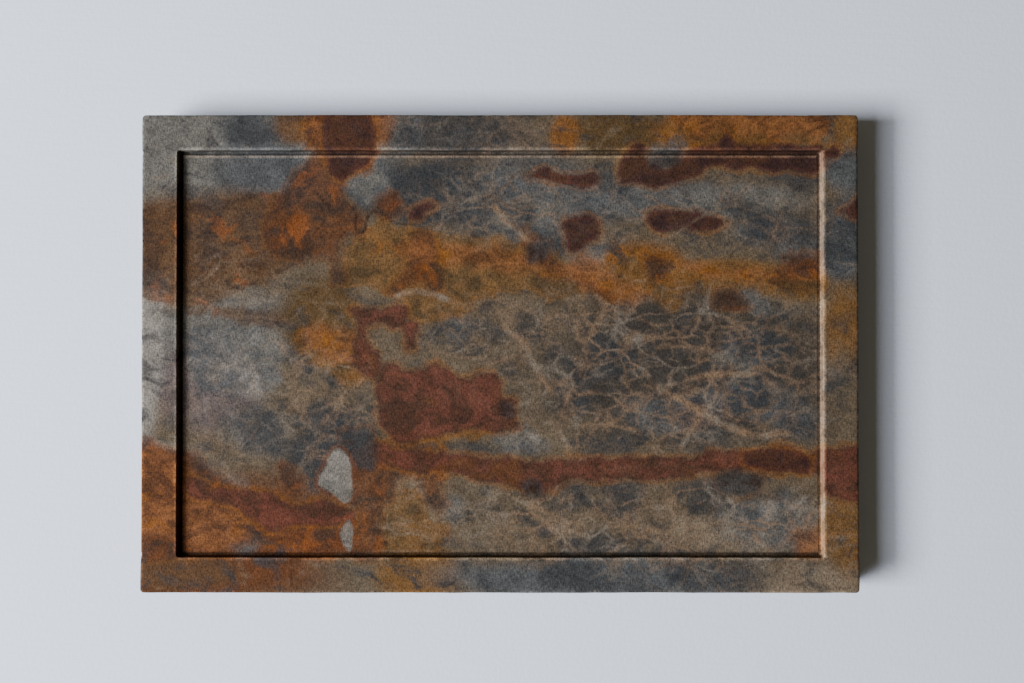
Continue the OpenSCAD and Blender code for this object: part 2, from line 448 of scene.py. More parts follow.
# washes of dye: name, middle, half widths and strength; millimetres from the tray's middle
washes = [
    ("warmGrey", -118, 88, 60, 30, 1.0),
    ("slate", -100, 74, 24, 16, 1.0),
    ("slateDark", -108, 77, 20, 11, 0.25),
    ("slate", -104, 92, 13, 14, 0.9),
    ("slate", -58, 76, 14, 12, 0.9),
    ("slateDark", -20, 92, 34, 12, 0.7),
    ("slateDark", -30, 68, 30, 14, 0.9),
    ("slate", 15, 62, 34, 22, 0.8),
    ("slate", 70, 66, 50, 10, 0.8),
    ("warmGrey", 100, 66, 28, 8, 0.8),
    ("warmGrey", 0, 58, 20, 6, 0.8),
    ("brown", -124, 46, 38, 20, 1.0),
    ("tanPale", -118, 50, 18, 10, 0.35),
    ("tan", -128, 24, 26, 8, 0.7),
    ("warmGrey", -116, 4, 34, 20, 1.0),
    ("lilac", -122, -12, 20, 20, 0.7),
    ("slate", -102, -30, 14, 12, 0.6),
    ("paleGrey", -146, 0, 8, 40, 0.95),
    ("brown", -145, 46, 9, 16, 1.0),
    ("rustOrange", -142, -58, 14, 16, 0.95),
    ("rust", -110, -70, 46, 20, 0.9),
    ("tan", -118, -72, 18, 10, 0.8),
    ("rust", -125, -92, 50, 14, 0.9),
    ("brown", -130, -93, 20, 9, 0.8),
    ("slate", -109, -76, 8, 9, 0.7),
    ("rustOrange", -80, -79, 18, 6, 0.8),
    ("ochreDark", -76, 14, 18, 14, 0.9),
    ("orange", -74, 7, 10, 4, 0.8),
    ("tan", -76, -16, 22, 18, 0.9),
    ("slateDark", -70, -44, 24, 18, 0.9),
    ("tan", -38, -64, 20, 22, 0.9),
    ("tanPale", -38, -62, 12, 12, 0.7),
    ("ochre", -34, -93, 18, 12, 0.9),
    ("tan", 0, 14, 40, 16, 0.9),
    ("tan", 60, 0, 70, 26, 0.8),
    ("umberGrey", 78, -6, 64, 34, 0.88),
    ("umberGrey", 100, 58, 40, 10, 0.3),
    ("slate", -18, 12, 8, 8, 0.6),
    ("slate", 104, 4, 12, 8, 0.7),
    ("slate", 72, -26, 22, 10, 0.8),
    ("rustOrange", 86, -27, 15, 8, 0.30),
    ("slate", 104, -18, 20, 10, 0.8),
    ("slate", 122, -26, 10, 8, 0.7),
    ("tan", 60, -72, 80, 14, 0.85),
    ("tanPale", 10, -72, 30, 12, 0.1),
    ("tanPale", 96, -76, 30, 9, 0.7),
    ("slate", 40, -94, 66, 10, 0.95),
    ("tanPale", 130, -94, 26, 9, 0.8),
    ("orange", 58, 33, 24, 12, 0.8),
    ("ochre", 104, 32, 34, 8, 0.9),
    ("rust", 126, 36, 10, 7, 0.8),
    ("slate", 112, 54, 14, 7, 0.8),
    ("slate", 124, 46, 9, 7, 0.7),
    ("ochreDark", 50, 93, 24, 10, 0.8),
    ("orange", 95, 93, 28, 10, 1.0),
    ("orange", 25, 92, 6, 9, 0.7),
    ("ochre", 145, 92, 9, 12, 0.9),
    ("slate", 76, 89, 5, 5, 0.7),
    ("slate", 117, 90, 7, 5, 0.7),
    ("slate", 144, 76, 9, 10, 0.9),
    ("slate", 144, 48, 9, 18, 1.0),
    ("ochre", 144, 12, 9, 18, 0.9),
    ("tan", 144, -18, 9, 20, 0.9),
    ("ochre", 144, -74, 9, 16, 0.8),
    ("brown", -84, 94, 8, 8, 0.9),
    ("orange", -66, 94, 15, 14, 1.0),
    ("slate", -45, 92, 8, 10, 0.6),
]

# outlines of the stains, by kind of dye; millimetres from the tray's middle
stains = {
    "ochre": [
        [(-64, 44), (-58, 51), (-53, 56), (-48, 58), (-45, 55), (-38, 54), (-22, 51), (-5, 49), (10, 47),
         (18, 44), (27, 39), (34, 34), (42, 36), (51, 38), (55, 45), (59, 41), (62, 39), (70, 39), (71, 33),
         (76, 28), (76, 21), (71, 18), (62, 26), (52, 25), (44, 22), (34, 26), (22, 22), (8, 26), (-7, 23),
         (-14, 17), (-24, 13), (-38, 14), (-40, 22), (-48, 25), (-58, 29), (-66, 29)],
        [(76, 33), (82, 37), (88, 36), (94, 34), (106, 34), (114, 33), (124, 33), (134, 34), (134, 25),
         (118, 27), (102, 29), (94, 31), (86, 31), (77, 28)],
        [(-50, -84), (-50, -68), (-46, -60), (-40, -53), (-36, -57), (-31, -63), (-29, -70), (-22, -74),
         (-28, -84)],
        [(-87, 9), (-74, 10), (-62, 9), (-57, 0), (-58, -12), (-66, -13), (-74, -6), (-84, 0)],
        [(75, 100), (76, 88), (92, 85), (118, 86), (132, 88), (132, 100)],
        [(-52, -37), (-30, -38), (-4, -34), (-6, -31), (-24, -33), (-50, -33)],
    ],
    "brown": [
        [(-156, 58), (-140, 61), (-128, 64), (-122, 61), (-115, 64), (-104, 67), (-92, 68), (-86, 60),
         (-80, 44), (-88, 36), (-100, 30), (-118, 22), (-134, 20), (-156, 28)],
        [(-132, 17), (-118, 16), (-104, 12), (-92, 12), (-92, 16), (-110, 20)],
    ],
    "rust": [
        [(-96, 66), (-92, 68), (-86, 76), (-78, 84), (-66, 88), (-54, 85), (-60, 78), (-66, 72), (-65, 65),
         (-60, 60), (-57, 55), (-58, 50), (-66, 48), (-68, 40), (-66, 32), (-71, 30), (-74, 40), (-84, 40),
         (-94, 42), (-99, 50)],
        [(-152, -39), (-136, -40), (-130, -41), (-125, -44), (-121, -49), (-110, -56), (-100, -57),
         (-95, -59), (-82, -64), (-76, -60), (-62, -66), (-60, -76), (-70, -84), (-100, -78), (-118, -84),
         (-152, -82)],
        [(-80, 100), (-79, 88), (-72, 78), (-64, 76), (-54, 78), (-52, 92), (-54, 100)],
        [(-37, 51), (-29, 51), (-27, 40), (-24, 28), (-28, 25), (-33, 29), (-40, 26), (-47, 25), (-46, 28),
         (-40, 36), (-38, 44)],
        [(61, 40), (70, 40), (71, 33), (66, 30), (62, 35)],
        [(90, 27), (94, 28), (99, 26), (102, 22), (105, 19), (100, 18), (93, 20), (90, 23)],
        [(-62, -46), (-53, -38), (-40, -37), (-24, -42), (-24, -52), (-34, -52), (-40, -52), (-46, -60),
         (-50, -68), (-50, -84), (-62, -84), (-62, -62)],
        [(-92, -47), (-86, -48), (-82, -55), (-86, -59), (-92, -56)],
        [(-52, 66), (-43, 66), (-43, 58), (-52, 58)],
        [(120, 41), (133, 41), (133, 32), (122, 33)],
        [(-36, -50), (-33, -58), (-30, -65), (-26, -67), (-23, -62), (-26, -56), (-26, -50)],
        [(10, 51), (22, 41), (33, 35), (45, 27), (42, 25), (30, 31), (18, 37), (9, 46)],
    ],
    "maroon": [
        [(-72, 101), (-56, 101), (-53, 95), (-52, 86), (-56, 80), (-62, 77), (-68, 73), (-72, 78),
         (-74, 88)],
        [(-38, 57), (-36, 61), (-30, 63), (-27, 62), (-32, 59), (-34, 56)],
        [(11, 74), (18, 78), (26, 76), (31, 75), (36, 76), (40, 75), (41, 72), (37, 70), (30, 71),
         (18, 73)],
        [(26, 54), (29, 57), (34, 58), (40, 57), (42, 53), (41, 48), (37, 46), (33, 43), (29, 43),
         (28, 48)],
        [(61, 56), (64, 60), (76, 60), (82, 60), (90, 57), (96, 56), (93, 54), (87, 51), (80, 53), (73, 53),
         (67, 51)],
        [(50, 80), (56, 87), (60, 87), (62, 82), (70, 78), (74, 80), (78, 83), (84, 87), (133, 87),
         (136, 80), (133, 76), (125, 77), (110, 77), (105, 79), (101, 77), (94, 79), (88, 79), (84, 75),
         (78, 73), (66, 70), (58, 72), (51, 72)],
        [(89, 85), (92, 90), (95, 92), (98, 89), (101, 85)],
        [(136, 82), (137, 86), (141, 86), (141, 82)],
        [(103, -42), (118, -40), (130, -44), (128, -50), (112, -49), (104, -47)],
        [(142, 60), (147, 63), (151, 64), (152, 60), (150, 56), (145, 58)],
    ],
    "red": [
        [(-63, 19), (-52, 18), (-40, 20), (-39, 14), (-35, 13), (-35, 8), (-36, 2), (-40, 2), (-41, 10),
         (-55, 12), (-56, 4), (-51, 0), (-51, -8), (-56, -10), (-62, -4), (-62, 4), (-60, 12)],
        [(-50, -6), (-45, -5), (-39, -7), (-33, -7), (-28, -4), (-22, -7), (-16, -11), (-11, -10), (-7, -8),
         (-2, -9), (0, -13), (1, -18), (6, -19), (7, -21), (5, -25), (7, -32), (-4, -33), (-12, -32),
         (-21, -34), (-33, -36), (-44, -37), (-50, -29), (-52, -20), (-52, -13)],
        [(-54, -38), (-40, -41), (-20, -42), (0, -44), (15, -45), (35, -44), (57, -44), (75, -44),
         (85, -43), (90, -41), (108, -41), (118, -38), (124, -39), (130, -42), (137, -40), (154, -40),
         (154, -60), (137, -60), (133, -50), (110, -50), (95, -49), (80, -51), (70, -53), (45, -53),
         (33, -53), (25, -56), (15, -57), (-10, -53), (-20, -50), (-34, -50), (-50, -46)],
        [(-132, -52), (-118, -56), (-98, -59), (-84, -65), (-76, -61), (-63, -66), (-62, -71), (-85, -72),
         (-98, -74), (-112, -64), (-130, -60)],
    ],
    "slate": [
        [(61, 79), (64, 85), (74, 85), (76, 80), (68, 77)],
        [(0, -20), (6, -21), (5, -27), (0, -27)],
        [(91, -51), (95, -49), (101, -49), (107, -50), (110, -53), (107, -58), (100, -60), (93, -58)],
        [(10, -54), (17, -54), (17, -60), (11, -60)],
        [(12, 38), (12, 46), (20, 47), (20, 39)],
        [(-67, -33), (-56, -32), (-52, -38), (-53, -48), (-62, -47), (-66, -40)],
    ],
    "smoke": [
        [(49, 26), (56, 27), (62, 24), (61, 20), (52, 20)],
        [(98, 8), (108, 10), (118, 9), (124, 4), (121, -2), (108, -3), (99, 0)],
        [(89, -12), (98, -9), (112, -10), (115, -18), (112, -25), (100, -27), (91, -24), (93, -18)],
        [(117, -22), (126, -21), (133, -24), (133, -37), (124, -34), (117, -29)],
        [(81, -38), (86, -30), (92, -29), (100, -38), (92, -42), (84, -43)],
        [(35, -45), (36, -36), (44, -32), (52, -33), (56, -41), (46, -44)],
        [(20, 1), (26, 2), (31, -1), (31, -6), (24, -6)],
        [(63, -22), (71, -22), (78, -27), (74, -30), (66, -29)],
        [(36, 8), (46, 8), (57, 0), (56, -9), (46, -10), (38, -4)],
        [(8, 18), (17, 16), (19, 8), (14, 4), (8, 8)],
        [(-19, 13), (-10, 14), (2, 10), (0, 5), (-14, 7)],
        [(-21, 19), (-15, 18), (-15, 14), (-21, 14)],
        [(24, -10), (34, -10), (38, -22), (28, -26), (22, -20)],
        [(-110, -24), (-100, -22), (-91, -26), (-91, -42), (-102, -40), (-110, -34)],
        [(-89, 3), (-82, 4), (-74, -2), (-78, -8), (-88, -6)],
        [(-84, -22), (-70, -18), (-58, -26), (-66, -34), (-86, -32)],
        [(-110, 56), (-100, 60), (-92, 52), (-94, 42), (-106, 44)],
        [(-44, -36), (-20, -36), (2, -40), (0, -44), (-20, -42), (-42, -41)],
        [(18, -52), (34, -54), (36, -64), (24, -66), (16, -60)],
        [(44, -52), (62, -54), (60, -64), (46, -62)],
        [(72, -54), (88, -52), (100, -62), (92, -70), (78, -66)],
        [(104, -62), (114, -56), (124, -62), (118, -74), (106, -74)],
        [(30, -76), (44, -74), (56, -78), (50, -84), (34, -84)],
        [(16, -87), (28, -86), (48, -88), (48, -99), (20, -98)],
        [(70, -87), (90, -85), (110, -88), (108, -98), (74, -98)],
        [(134, -8), (142, -7), (146, -12), (140, -16), (134, -15)],
        [(-114, 98), (-96, 98), (-92, 90), (-100, 86), (-112, 88)],
        [(-52, 98), (-38, 96), (-36, 88), (-50, 87)],
        [(-30, 78), (-10, 76), (-6, 70), (-18, 66), (-32, 70)],
        [(92, 66), (108, 64), (126, 60), (130, 48), (116, 44), (100, 50), (94, 58)],
        [(118, 84), (132, 76), (132, 66), (120, 68), (110, 76)],
        [(8, 50), (20, 52), (28, 48), (24, 38), (12, 42)],
        [(134, 62), (150, 60), (150, 38), (134, 38)],
        [(-20, 70), (0, 66), (14, 60), (10, 52), (-10, 52), (-24, 58)],
    ],
    "glow": [
        [(-156, -42), (-136, -44), (-129, -50), (-130, -64), (-136, -74), (-156, -72)],
        [(-130, -63), (-116, -61), (-106, -66), (-108, -76), (-116, -82), (-132, -80)],
        [(74, 103), (78, 91), (86, 89), (92, 92), (98, 90), (106, 93), (114, 88), (124, 92), (134, 90),
         (134, 103)],
        [(-55, 103), (-53, 90), (-48, 87), (-45, 95), (-46, 103)],
        [(-80, 103), (-81, 88), (-76, 86), (-73, 92), (-74, 103)],
        [(26, 37), (35, 41), (43, 36), (50, 30), (60, 25), (56, 20), (46, 22), (36, 28), (30, 31)],
        [(-83, 10), (-68, 11), (-60, 5), (-66, -3), (-78, -1)],
        [(-44, 47), (-30, 46), (-8, 45), (8, 42), (22, 37), (10, 34), (-12, 37), (-38, 39)],
        [(123, -74), (133, -73), (134, -84), (125, -84)],
        [(76, 38), (90, 37), (112, 35), (130, 36), (130, 30), (108, 31), (86, 33)],
    ],
    "pale": [
        [(-69, -40), (-66, -41), (-63, -46), (-62, -59), (-65, -63), (-69, -60), (-76, -55), (-75, -50),
         (-71, -42)],
        [(-63, -70), (-62, -76), (-63, -83), (-65, -81), (-67, -77), (-66, -73)],
    ],
    "mist": [
        [(-3, -33), (8, -31), (18, -35), (20, -40), (10, -42), (0, -39)],
        [(-24, -61), (-17, -61), (-16, -70), (-22, -70)],
        [(30, 44), (36, 46), (43, 48), (46, 44), (40, 37), (33, 35), (29, 39)],
        [(99, 27), (108, 27), (114, 20), (108, 15), (104, 18)],
        [(60, 80), (63, 86), (74, 86), (76, 80), (68, 77)],
        [(-152, -35), (-136, -37), (-126, -41), (-118, -50), (-106, -54), (-108, -58), (-122, -50),
         (-132, -42), (-152, -39)],
        [(92, -66), (110, -62), (128, -60), (133, -72), (126, -82), (100, -80)],
        [(-66, 83), (-50, 83), (-48, 66), (-58, 62), (-64, 72)],
        [(-128, 10), (-106, 12), (-92, 6), (-94, -14), (-112, -18), (-130, -10)],
    ],
}

# dark tide lines and folds: strength, then the points; millimetres from the tray's middle
darkLines = [
    (1.0, [(-66, 71), (-63, 64), (-61, 59), (-61, 53), (-59, 51), (-57, 52), (-56, 57), (-53, 60), (-48, 58),
           (-44, 55), (-35, 54), (-22, 52), (-8, 50)]),
    (0.9, [(-81, 71), (-76, 66), (-72, 62), (-71, 57)]),
    (0.6, [(-150, 60), (-140, 59), (-128, 62), (-115, 63), (-100, 66), (-90, 67)]),
    (0.6, [(-68, 1), (-60, -7), (-55, -15), (-51, -20)]),
    (0.8, [(133, -23), (142, -24), (152, -23)]),
    (0.8, [(-88, -88), (-87, -94), (-86, -102)]),
    (0.5, [(-132, 18), (-115, 14), (-106, 11)]),
    (0.7, [(8, 55), (12, 57), (18, 55), (27, 54)]),
    (0.5, [(9, 52), (16, 52), (27, 50)]),
    (0.6, [(30, 38), (35, 34), (40, 35), (44, 39)]),
    (0.5, [(-16, -67), (-10, -78)]),
    (0.5, [(-38, -69), (-36, -79)]),
    (0.6, [(132, 86), (134, 80), (133, 72), (134, 62)]),
    (0.5, [(50, 80), (46, 76), (44, 70)]),
    (0.6, [(-18, -51), (-6, -54), (8, -56), (20, -56)]),
]
paleLines = [
    (0.9, [(-46, 23), (-38, 26), (-28, 25), (-19, 21)]),
    (0.8, [(-3, 17), (3, 10), (10, 4), (15, -6), (20, -14), (24, -19)]),
    (0.9, [(-4, 65), (1, 57), (8, 51), (13, 46)]),
    (0.6, [(-12, 70), (-9, 63)]),
    (0.5, [(-8, 59), (-5, 50)]),
    (0.5, [(22, 70), (27, 62)]),
    (1.0, [(62, -15), (73, -18), (85, -25), (99, -32), (110, -35), (119, -33), (131, -39)]),
    (0.8, [(76, -12), (87, -9), (99, -9), (113, -8)]),
    (0.6, [(58, -13), (66, -14), (77, -12)]),
    (0.7, [(84, -26), (91, -17), (89, -11)]),
    (0.8, [(74, -43), (81, -31), (85, -25)]),
    (0.6, [(97, -29), (106, -25), (114, -24)]),
    (0.7, [(47, 11), (58, 4)]),
    (0.6, [(64, 2), (76, 3), (94, 1)]),
    (0.6, [(26, -22), (36, -30)]),
    (0.6, [(41, -33), (52, -26), (55, -20)]),
    (0.6, [(57, -19), (58, -32)]),
    (0.6, [(69, -23), (75, -35)]),
    (0.8, [(38, 26), (44, 21), (42, 15), (36, 6)]),
    (0.7, [(24, -32), (31, -43)]),
    (0.5, [(52, 18), (66, 12), (80, 14), (92, 10)]),
    (0.5, [(18, -54), (30, -60), (40, -70), (54, -74)]),
    (0.5, [(44, -50), (52, -56), (64, -62), (80, -62)]),
    (0.6, [(84, -50), (88, -58), (96, -66)]),
    (0.5, [(108, -56), (120, -54), (133, -56)]),
    (0.5, [(-60, -84), (-40, -83), (-20, -84)]),
    (0.5, [(-90, 30), (-78, 29), (-66, 25)]),
    (0.5, [(78, 54), (96, 62), (128, 68)]),
    (0.5, [(96, 58), (112, 52), (120, 44)]),
    (0.6, [(50, 46), (55, 50), (58, 47)]),
    (0.5, [(104, 26), (118, 22), (134, 20)]),
    (0.5, [(38, 82), (39, 76)]),
    (0.5, [(-84, -26), (-72, -22), (-60, -14), (-56, -6)]),
]

# folds that stand up from the cloth: height, then the points
creases = [
    (0.30, [(-16, -66), (-10, -78)]),
    (0.30, [(-38, -68), (-36, -79)]),
    (0.25, [(14, -44), (15, -51)]),
    (0.25, [(34, -42), (37, -51)]),
    (0.35, [(-137, 88), (-128, 78)]),
    (0.35, [(134, -83), (140, -86)]),
    (0.35, [(131, -85), (138, -90)]),
    (0.30, [(136, -80), (145, -83)]),
    (0.30, [(39, 86), (39, 80)]),
    (0.25, [(62, -13), (75, -18), (85, -25), (95, -32)]),
    (0.20, [(-90, 30), (-78, 29), (-66, 25)]),
    (0.25, [(-88, -88), (-87, -94), (-86, -99)]),
    (0.20, [(2, 18), (8, 8), (12, 0), (22, -18)]),
    (0.25, [(-46, 23), (-38, 26), (-28, 24)]),
    (0.20, [(100, -38), (110, -34), (118, -33), (126, -36)]),
]

# where the cloth is crumpled: half widths and strength; millimetres from the tray's middle
crumples = [
    (72, -8, 70, 36, 1.0),
    (60, -72, 80, 18, 1.2),
    (4, 2, 40, 20, 0.8),
    (44, 24, 30, 14, 0.6),
    (-72, -14, 26, 40, 0.7),
    (-112, 26, 28, 18, 0.5),
    (80, 60, 60, 14, 0.7),
    (0, 62, 30, 18, 0.7),
    (-40, -66, 26, 18, 0.5),
    (-110, -20, 26, 26, 0.35),
    (120, -92, 60, 14, 0.4),
    (-30, 92, 60, 12, 0.4),
]


def strengthMap(places, wander, seed):
    # how strong an effect is at each place of the chart
    shiftX = (roughField(chartX, chartY, 30, seed) - 0.5) * 2 * wander
    shiftY = (roughField(chartX, chartY, 30, seed + 6) - 0.5) * 2 * wander
    strength = np.zeros(chartX.shape)
    for cx, cy, rx, ry, share in places:
        reach = np.hypot((chartX + shiftX - cx) / rx, (chartY + shiftY - cy) / ry)
        strength = np.maximum(strength, share * np.clip((1.3 - reach) / 0.6, 0, 1))
    return strength


clothChart = {name: edgeField(outlines) for name, outlines in stains.items()}
clothChart["darkLine"] = lineField(darkLines, 1.6)
clothChart["paleLine"] = lineField(paleLines, 2.8)
clothChart["crease"] = lineField(creases, 2.2)
clothChart["crumple"] = strengthMap(crumples, 10, 77)
clothChart["wash"] = dyeMap("tan", washes, 7, 41)
print("stage: dyes laid out on the chart")


def readChart(field, x, y):
    # the chart's value at each place, worked out between its nearest points
    gx = np.clip(x + chart["reachX"], 0, 2 * chart["reachX"] - 0.001)
    gy = np.clip(y + chart["reachY"], 0, 2 * chart["reachY"] - 0.001)
    ix, iy = gx.astype(int), gy.astype(int)
    fx, fy = gx - ix, gy - iy
    if field.ndim == 3:
        fx, fy = fx[..., None], fy[..., None]
    low = field[ix, iy] * (1 - fx) + field[ix + 1, iy] * fx
    high = field[ix, iy + 1] * (1 - fx) + field[ix + 1, iy + 1] * fx
    return low * (1 - fy) + high * fy


# the shell of the cover: every length in millimetres
cover = {
    "edgeRound": 1.3,
    "wallRound": 0.45,
    "wallFillet": 0.5,
    "wallLean": 0.06,
    "groove": 0.55,         # the line pressed into the cloth at the foot of the wall
    "grooveWidth": 0.9,
    "cornerRound": 1.6,
    "recessRound": 1.3,
    "underRound": 0.9,
    "turnIn": 11,
    "spacing": 1.25,
    "rimLines": 12,
    "sideRows": 12,
    "waver": 0.16,          # how far the edges wander
    "swell": 0.10,          # how far the cloth lifts from the core
    "flap": 0.9,            # how far the folded corners stand out
    "flapLength": 16,
    "flapDrop": 13.9,       # how far down the sides they reach
    "spreadX": (75, 60),    # where the extra length of the field's walls sets in, and over how far
    "spreadY": (65, 50),
}


def turned(angle):
    return math.sin(math.radians(angle)), math.cos(math.radians(angle))


def coverProfile(size, fine):
    # inset and height from the upright side, over the rim and down into the field
    e, r, f, lean = size["edge"], size["wall"], cover["wallFillet"], cover["wallLean"]
    quarter = [0, 30, 60, 90] if fine else [0, 90]
    profile = []
    for s, c in map(turned, [0, 22, 45, 68, 90] if fine else [0, 90]):
        profile.append((e - e * c, size["top"] - e + e * s))
    wall = size["rim"]
    lines = cover["rimLines"] if fine else 2
    for i in range(1, lines):
        profile.append((e + (wall - r - e) * i / lines, size["top"]))
    for s, c in map(turned, quarter):
        profile.append((wall - lean - r + r * s, size["top"] - r + r * c))
    if fine:
        profile.append((wall, (size["top"] + size["field"]) / 2))
    low = size["field"] - (cover["groove"] if fine else 0)
    for s, c in map(turned, quarter):
        profile.append((wall + lean + f - f * c, low + f - f * s))
    if fine:
        for share, lift in ((0.35, -1.0), (0.7, -0.75), (1.0, 0.0), (1.35, 0.22), (1.8, 0.12), (2.6, 0.0)):
            inset = wall + lean + f + cover["grooveWidth"] * share
            profile.append((inset, size["field"] + cover["groove"] * lift))
    return profile


def coverLines(half, profile, spacing):
    # line places across the tray, with each line's ring number in the profile
    insets = [inset for inset, _ in profile]
    inner = half - insets[-1]
    count = max(int(round(2 * inner / spacing)), 1)
    middle = [-inner + 2 * inner * i / count for i in range(1, count)]
    places = [inset - half for inset in insets] + middle + [half - inset for inset in reversed(insets)]
    rings = list(range(len(insets))) + [len(insets) - 1] * (count - 1) + list(reversed(range(len(insets))))
    return np.array(places), np.array(rings)


def roundedCorner(x, y, size, inset, radius, fade):
    # pulls the square corner of the ring at this inset onto an arc
    cx, cy = size["halfWide"] - inset - radius, size["halfDeep"] - inset - radius
    u, v = np.abs(x) - cx, np.abs(y) - cy
    reach = np.maximum(u, v)
    weight = np.clip(1 - (reach - radius) / fade, 0, 1) * ((u > 0) & (v > 0))
    angle = np.where(u >= v, v / np.maximum(u, 1e-6), 2 - u / np.maximum(v, 1e-6)) * math.pi / 4
    newX = np.sign(x) * (cx + reach * np.cos(angle))
    newY = np.sign(y) * (cy + reach * np.sin(angle))
    return x + (newX - x) * weight, y + (newY - y) * weight


def buildCover(size, fine):
    # rows of points: a grid over the top, then rings down the sides and in under the tray
    profile = coverProfile(size, fine)
    spacing = cover["spacing"] if fine else 12
    xs, ringX = coverLines(size["halfWide"], profile, spacing)
    ys, ringY = coverLines(size["halfDeep"], profile, spacing)
    heights = np.array([height for _, height in profile])
    gx, gy = np.meshgrid(xs, ys, indexing="ij")
    gz = heights[np.minimum(*np.meshgrid(ringX, ringY, indexing="ij"))]
    px, py = roundedCorner(gx, gy, size, 0, size["corner"], 0.01)
    px, py = roundedCorner(px, py, size, size["rim"], cover["recessRound"], 4)
    nx, ny = len(xs), len(ys)
    points = np.stack([px, py, gz], -1).reshape(-1, 3)
    plan = np.stack([gx, gy], -1).reshape(-1, 2)
    at = np.arange(nx * ny).reshape(nx, ny)
    faces = []
    for i in range(nx - 1):
        for j in range(ny - 1):
            faces.append(("top", (at[i, j], at[i + 1, j], at[i + 1, j + 1], at[i, j + 1])))

    ring = list(at[:-1, 0]) + list(at[-1, :-1]) + list(at[:0:-1, -1]) + list(at[0, :0:-1])
    sides = ["front"] * (nx - 1) + ["right"] * (ny - 1) + ["back"] * (nx - 1) + ["left"] * (ny - 1)
    base = points[ring]
    start, low, r = size["top"] - size["edge"], size["under"], size["fold"]
    rows = cover["sideRows"] if fine else 2
    steps = [(0, start + (low + r - start) * i / rows, (start - low - r) * i / rows)
             for i in range(1, rows + 1)]
    for a in (30, 60, 90):
        run = r * math.radians(a)
        s, c = turned(a)
        steps.append((r - r * c, low + r - r * s, start - low - r + run))
    for i in range(1, 6):
        inset = r + (size["turnIn"] - r) * i / 5
        steps.append((inset, low, start - low - r + r * math.pi / 2 + inset - r))
    drops = np.zeros(len(points))
    previous = ring
    for inset, height, run in steps:
        row = base.copy()
        row[:, 0] *= 1 - inset / size["halfWide"]
        row[:, 1] *= 1 - inset / size["halfDeep"]
        row[:, 2] = height
        first = len(points)
        points = np.concatenate([points, row])
        plan = np.concatenate([plan, plan[ring]])
        drops = np.concatenate([drops, np.full(len(row), run)])
        current = list(range(first, first + len(row)))
        for k, side in enumerate(sides):
            m = (k + 1) % len(ring)
            faces.append((side, (previous[k], current[k], current[m], previous[m])))
        previous = current
    return points, plan, drops, faces, previous


outward = {"top": (0, 0), "front": (0, -1), "right": (1, 0), "back": (0, 1), "left": (-1, 0)}


def sculptCover(points, drops, size):
    # the small lifts, wandering edges, folds and pleats of cloth pasted over a core
    x, y, z = points.T
    out = points.copy()
    insetX, insetY = size["halfWide"] - np.abs(x), size["halfDeep"] - np.abs(y)
    onTop = drops == 0
    for axis, inset, along in ((0, insetX, y), (1, insetY, x)):
        side = np.sign(points[:, axis])
        wander = roughField(along + 40 * side, z * 0.6 + 90 * axis, 21, 11) - 0.5
        small = roughField(along + 70 * side, z + 50 * axis, 6, 17) - 0.5
        weight = band(inset, 0, 2.5) + band(inset, size["rim"], 1.6)
        out[:, axis] += side * weight * cover["waver"] * (2.2 * wander + 1.2 * small)
    swell = roughField(x, y, 26, 5) * 0.6 + roughField(x, y, 8, 8) * 0.4
    level = np.minimum(insetX, insetY)
    rest = 1 - 0.5 * band(level - size["rim"], 1, 1.5)
    lift = cover["swell"] * rest * (swell - 0.35) * 1.6 + readChart(clothChart["crease"], x, y)
    shallow = band(level - size["rim"], 0.8, 0.5) * (x > 0) * (insetX < insetY)
    out[:, 2] += np.where(onTop, lift + cover["groove"] * 0.9 * shallow, 0)

    # the ends of the short sides carry the folded corners, which stand out a little
    fold = cover["flapLength"]
    nearCorner = np.clip(1 - insetY / fold, 0, 1)
    belly = np.sin(np.pi * np.clip(insetY / fold, 0, 1)) ** 0.7 * (insetY < fold)
    down = np.clip(drops / 12, 0, 1)
    amount = np.where(y < 0, 1.0, 0.55) * cover["flap"] * belly * (0.35 + 0.65 * np.sin(np.pi * down))
    amount *= (insetX < 0.5) & (drops < cover["flapDrop"])
    edge = band(insetY, fold, 0.8) * 0.25 * (insetX < 0.5) * (drops < cover["flapDrop"])
    out[:, 0] += np.sign(x) * (amount * 0.6 - edge)
    out[:, 0] += np.sign(x) * 0.3 * nearCorner * (insetX < 1.5) * (y < 0) * (drops < cover["flapDrop"])
    return out


def flatPlace(points, plan, drops, side, size):
    # where this point of the cloth lies when the cloth is spread out flat
    x, y, z = plan[0], plan[1], points[2]
    rise = min(max((z - size["field"]) / (size["top"] - size["field"]), 0), 1) if drops == 0 else 1
    extra = size["top"] - size["field"]
    (fromX, overX), (fromY, overY) = cover["spreadX"], cover["spreadY"]
    fadeX = min(max((abs(x) - size["halfWide"] + fromX) / overX, 0), 1)
    fadeY = min(max((abs(y) - size["halfDeep"] + fromY) / overY, 0), 1)
    u = x + math.copysign(extra * rise * fadeX, x) + outward[side][0] * drops
    v = y + math.copysign(extra * rise * fadeY, y) + outward[side][1] * drops
    return u, v


size = {key: value / mm for key, value in tray.items()}
size |= {
    "turnIn": cover["turnIn"],
    "edge": cover["edgeRound"],
    "wall": cover["wallRound"],
    "corner": cover["cornerRound"],
    "fold": cover["underRound"],
}
thick = clothThick / mm
inner = dict(size, under=size["under"] + thick, rim=size["rim"] - 2 * thick, wall=0.05)
for key in ("halfWide", "halfDeep", "top", "field", "turnIn", "edge", "corner", "fold"):
    inner[key] = size[key] - thick
outPoints, outPlan, outDrops, outFaces, outEnd = buildCover(size, True)
inPoints, _, _, inFaces, inEnd = buildCover(inner, False)
shaped = sculptCover(outPoints, outDrops, size)


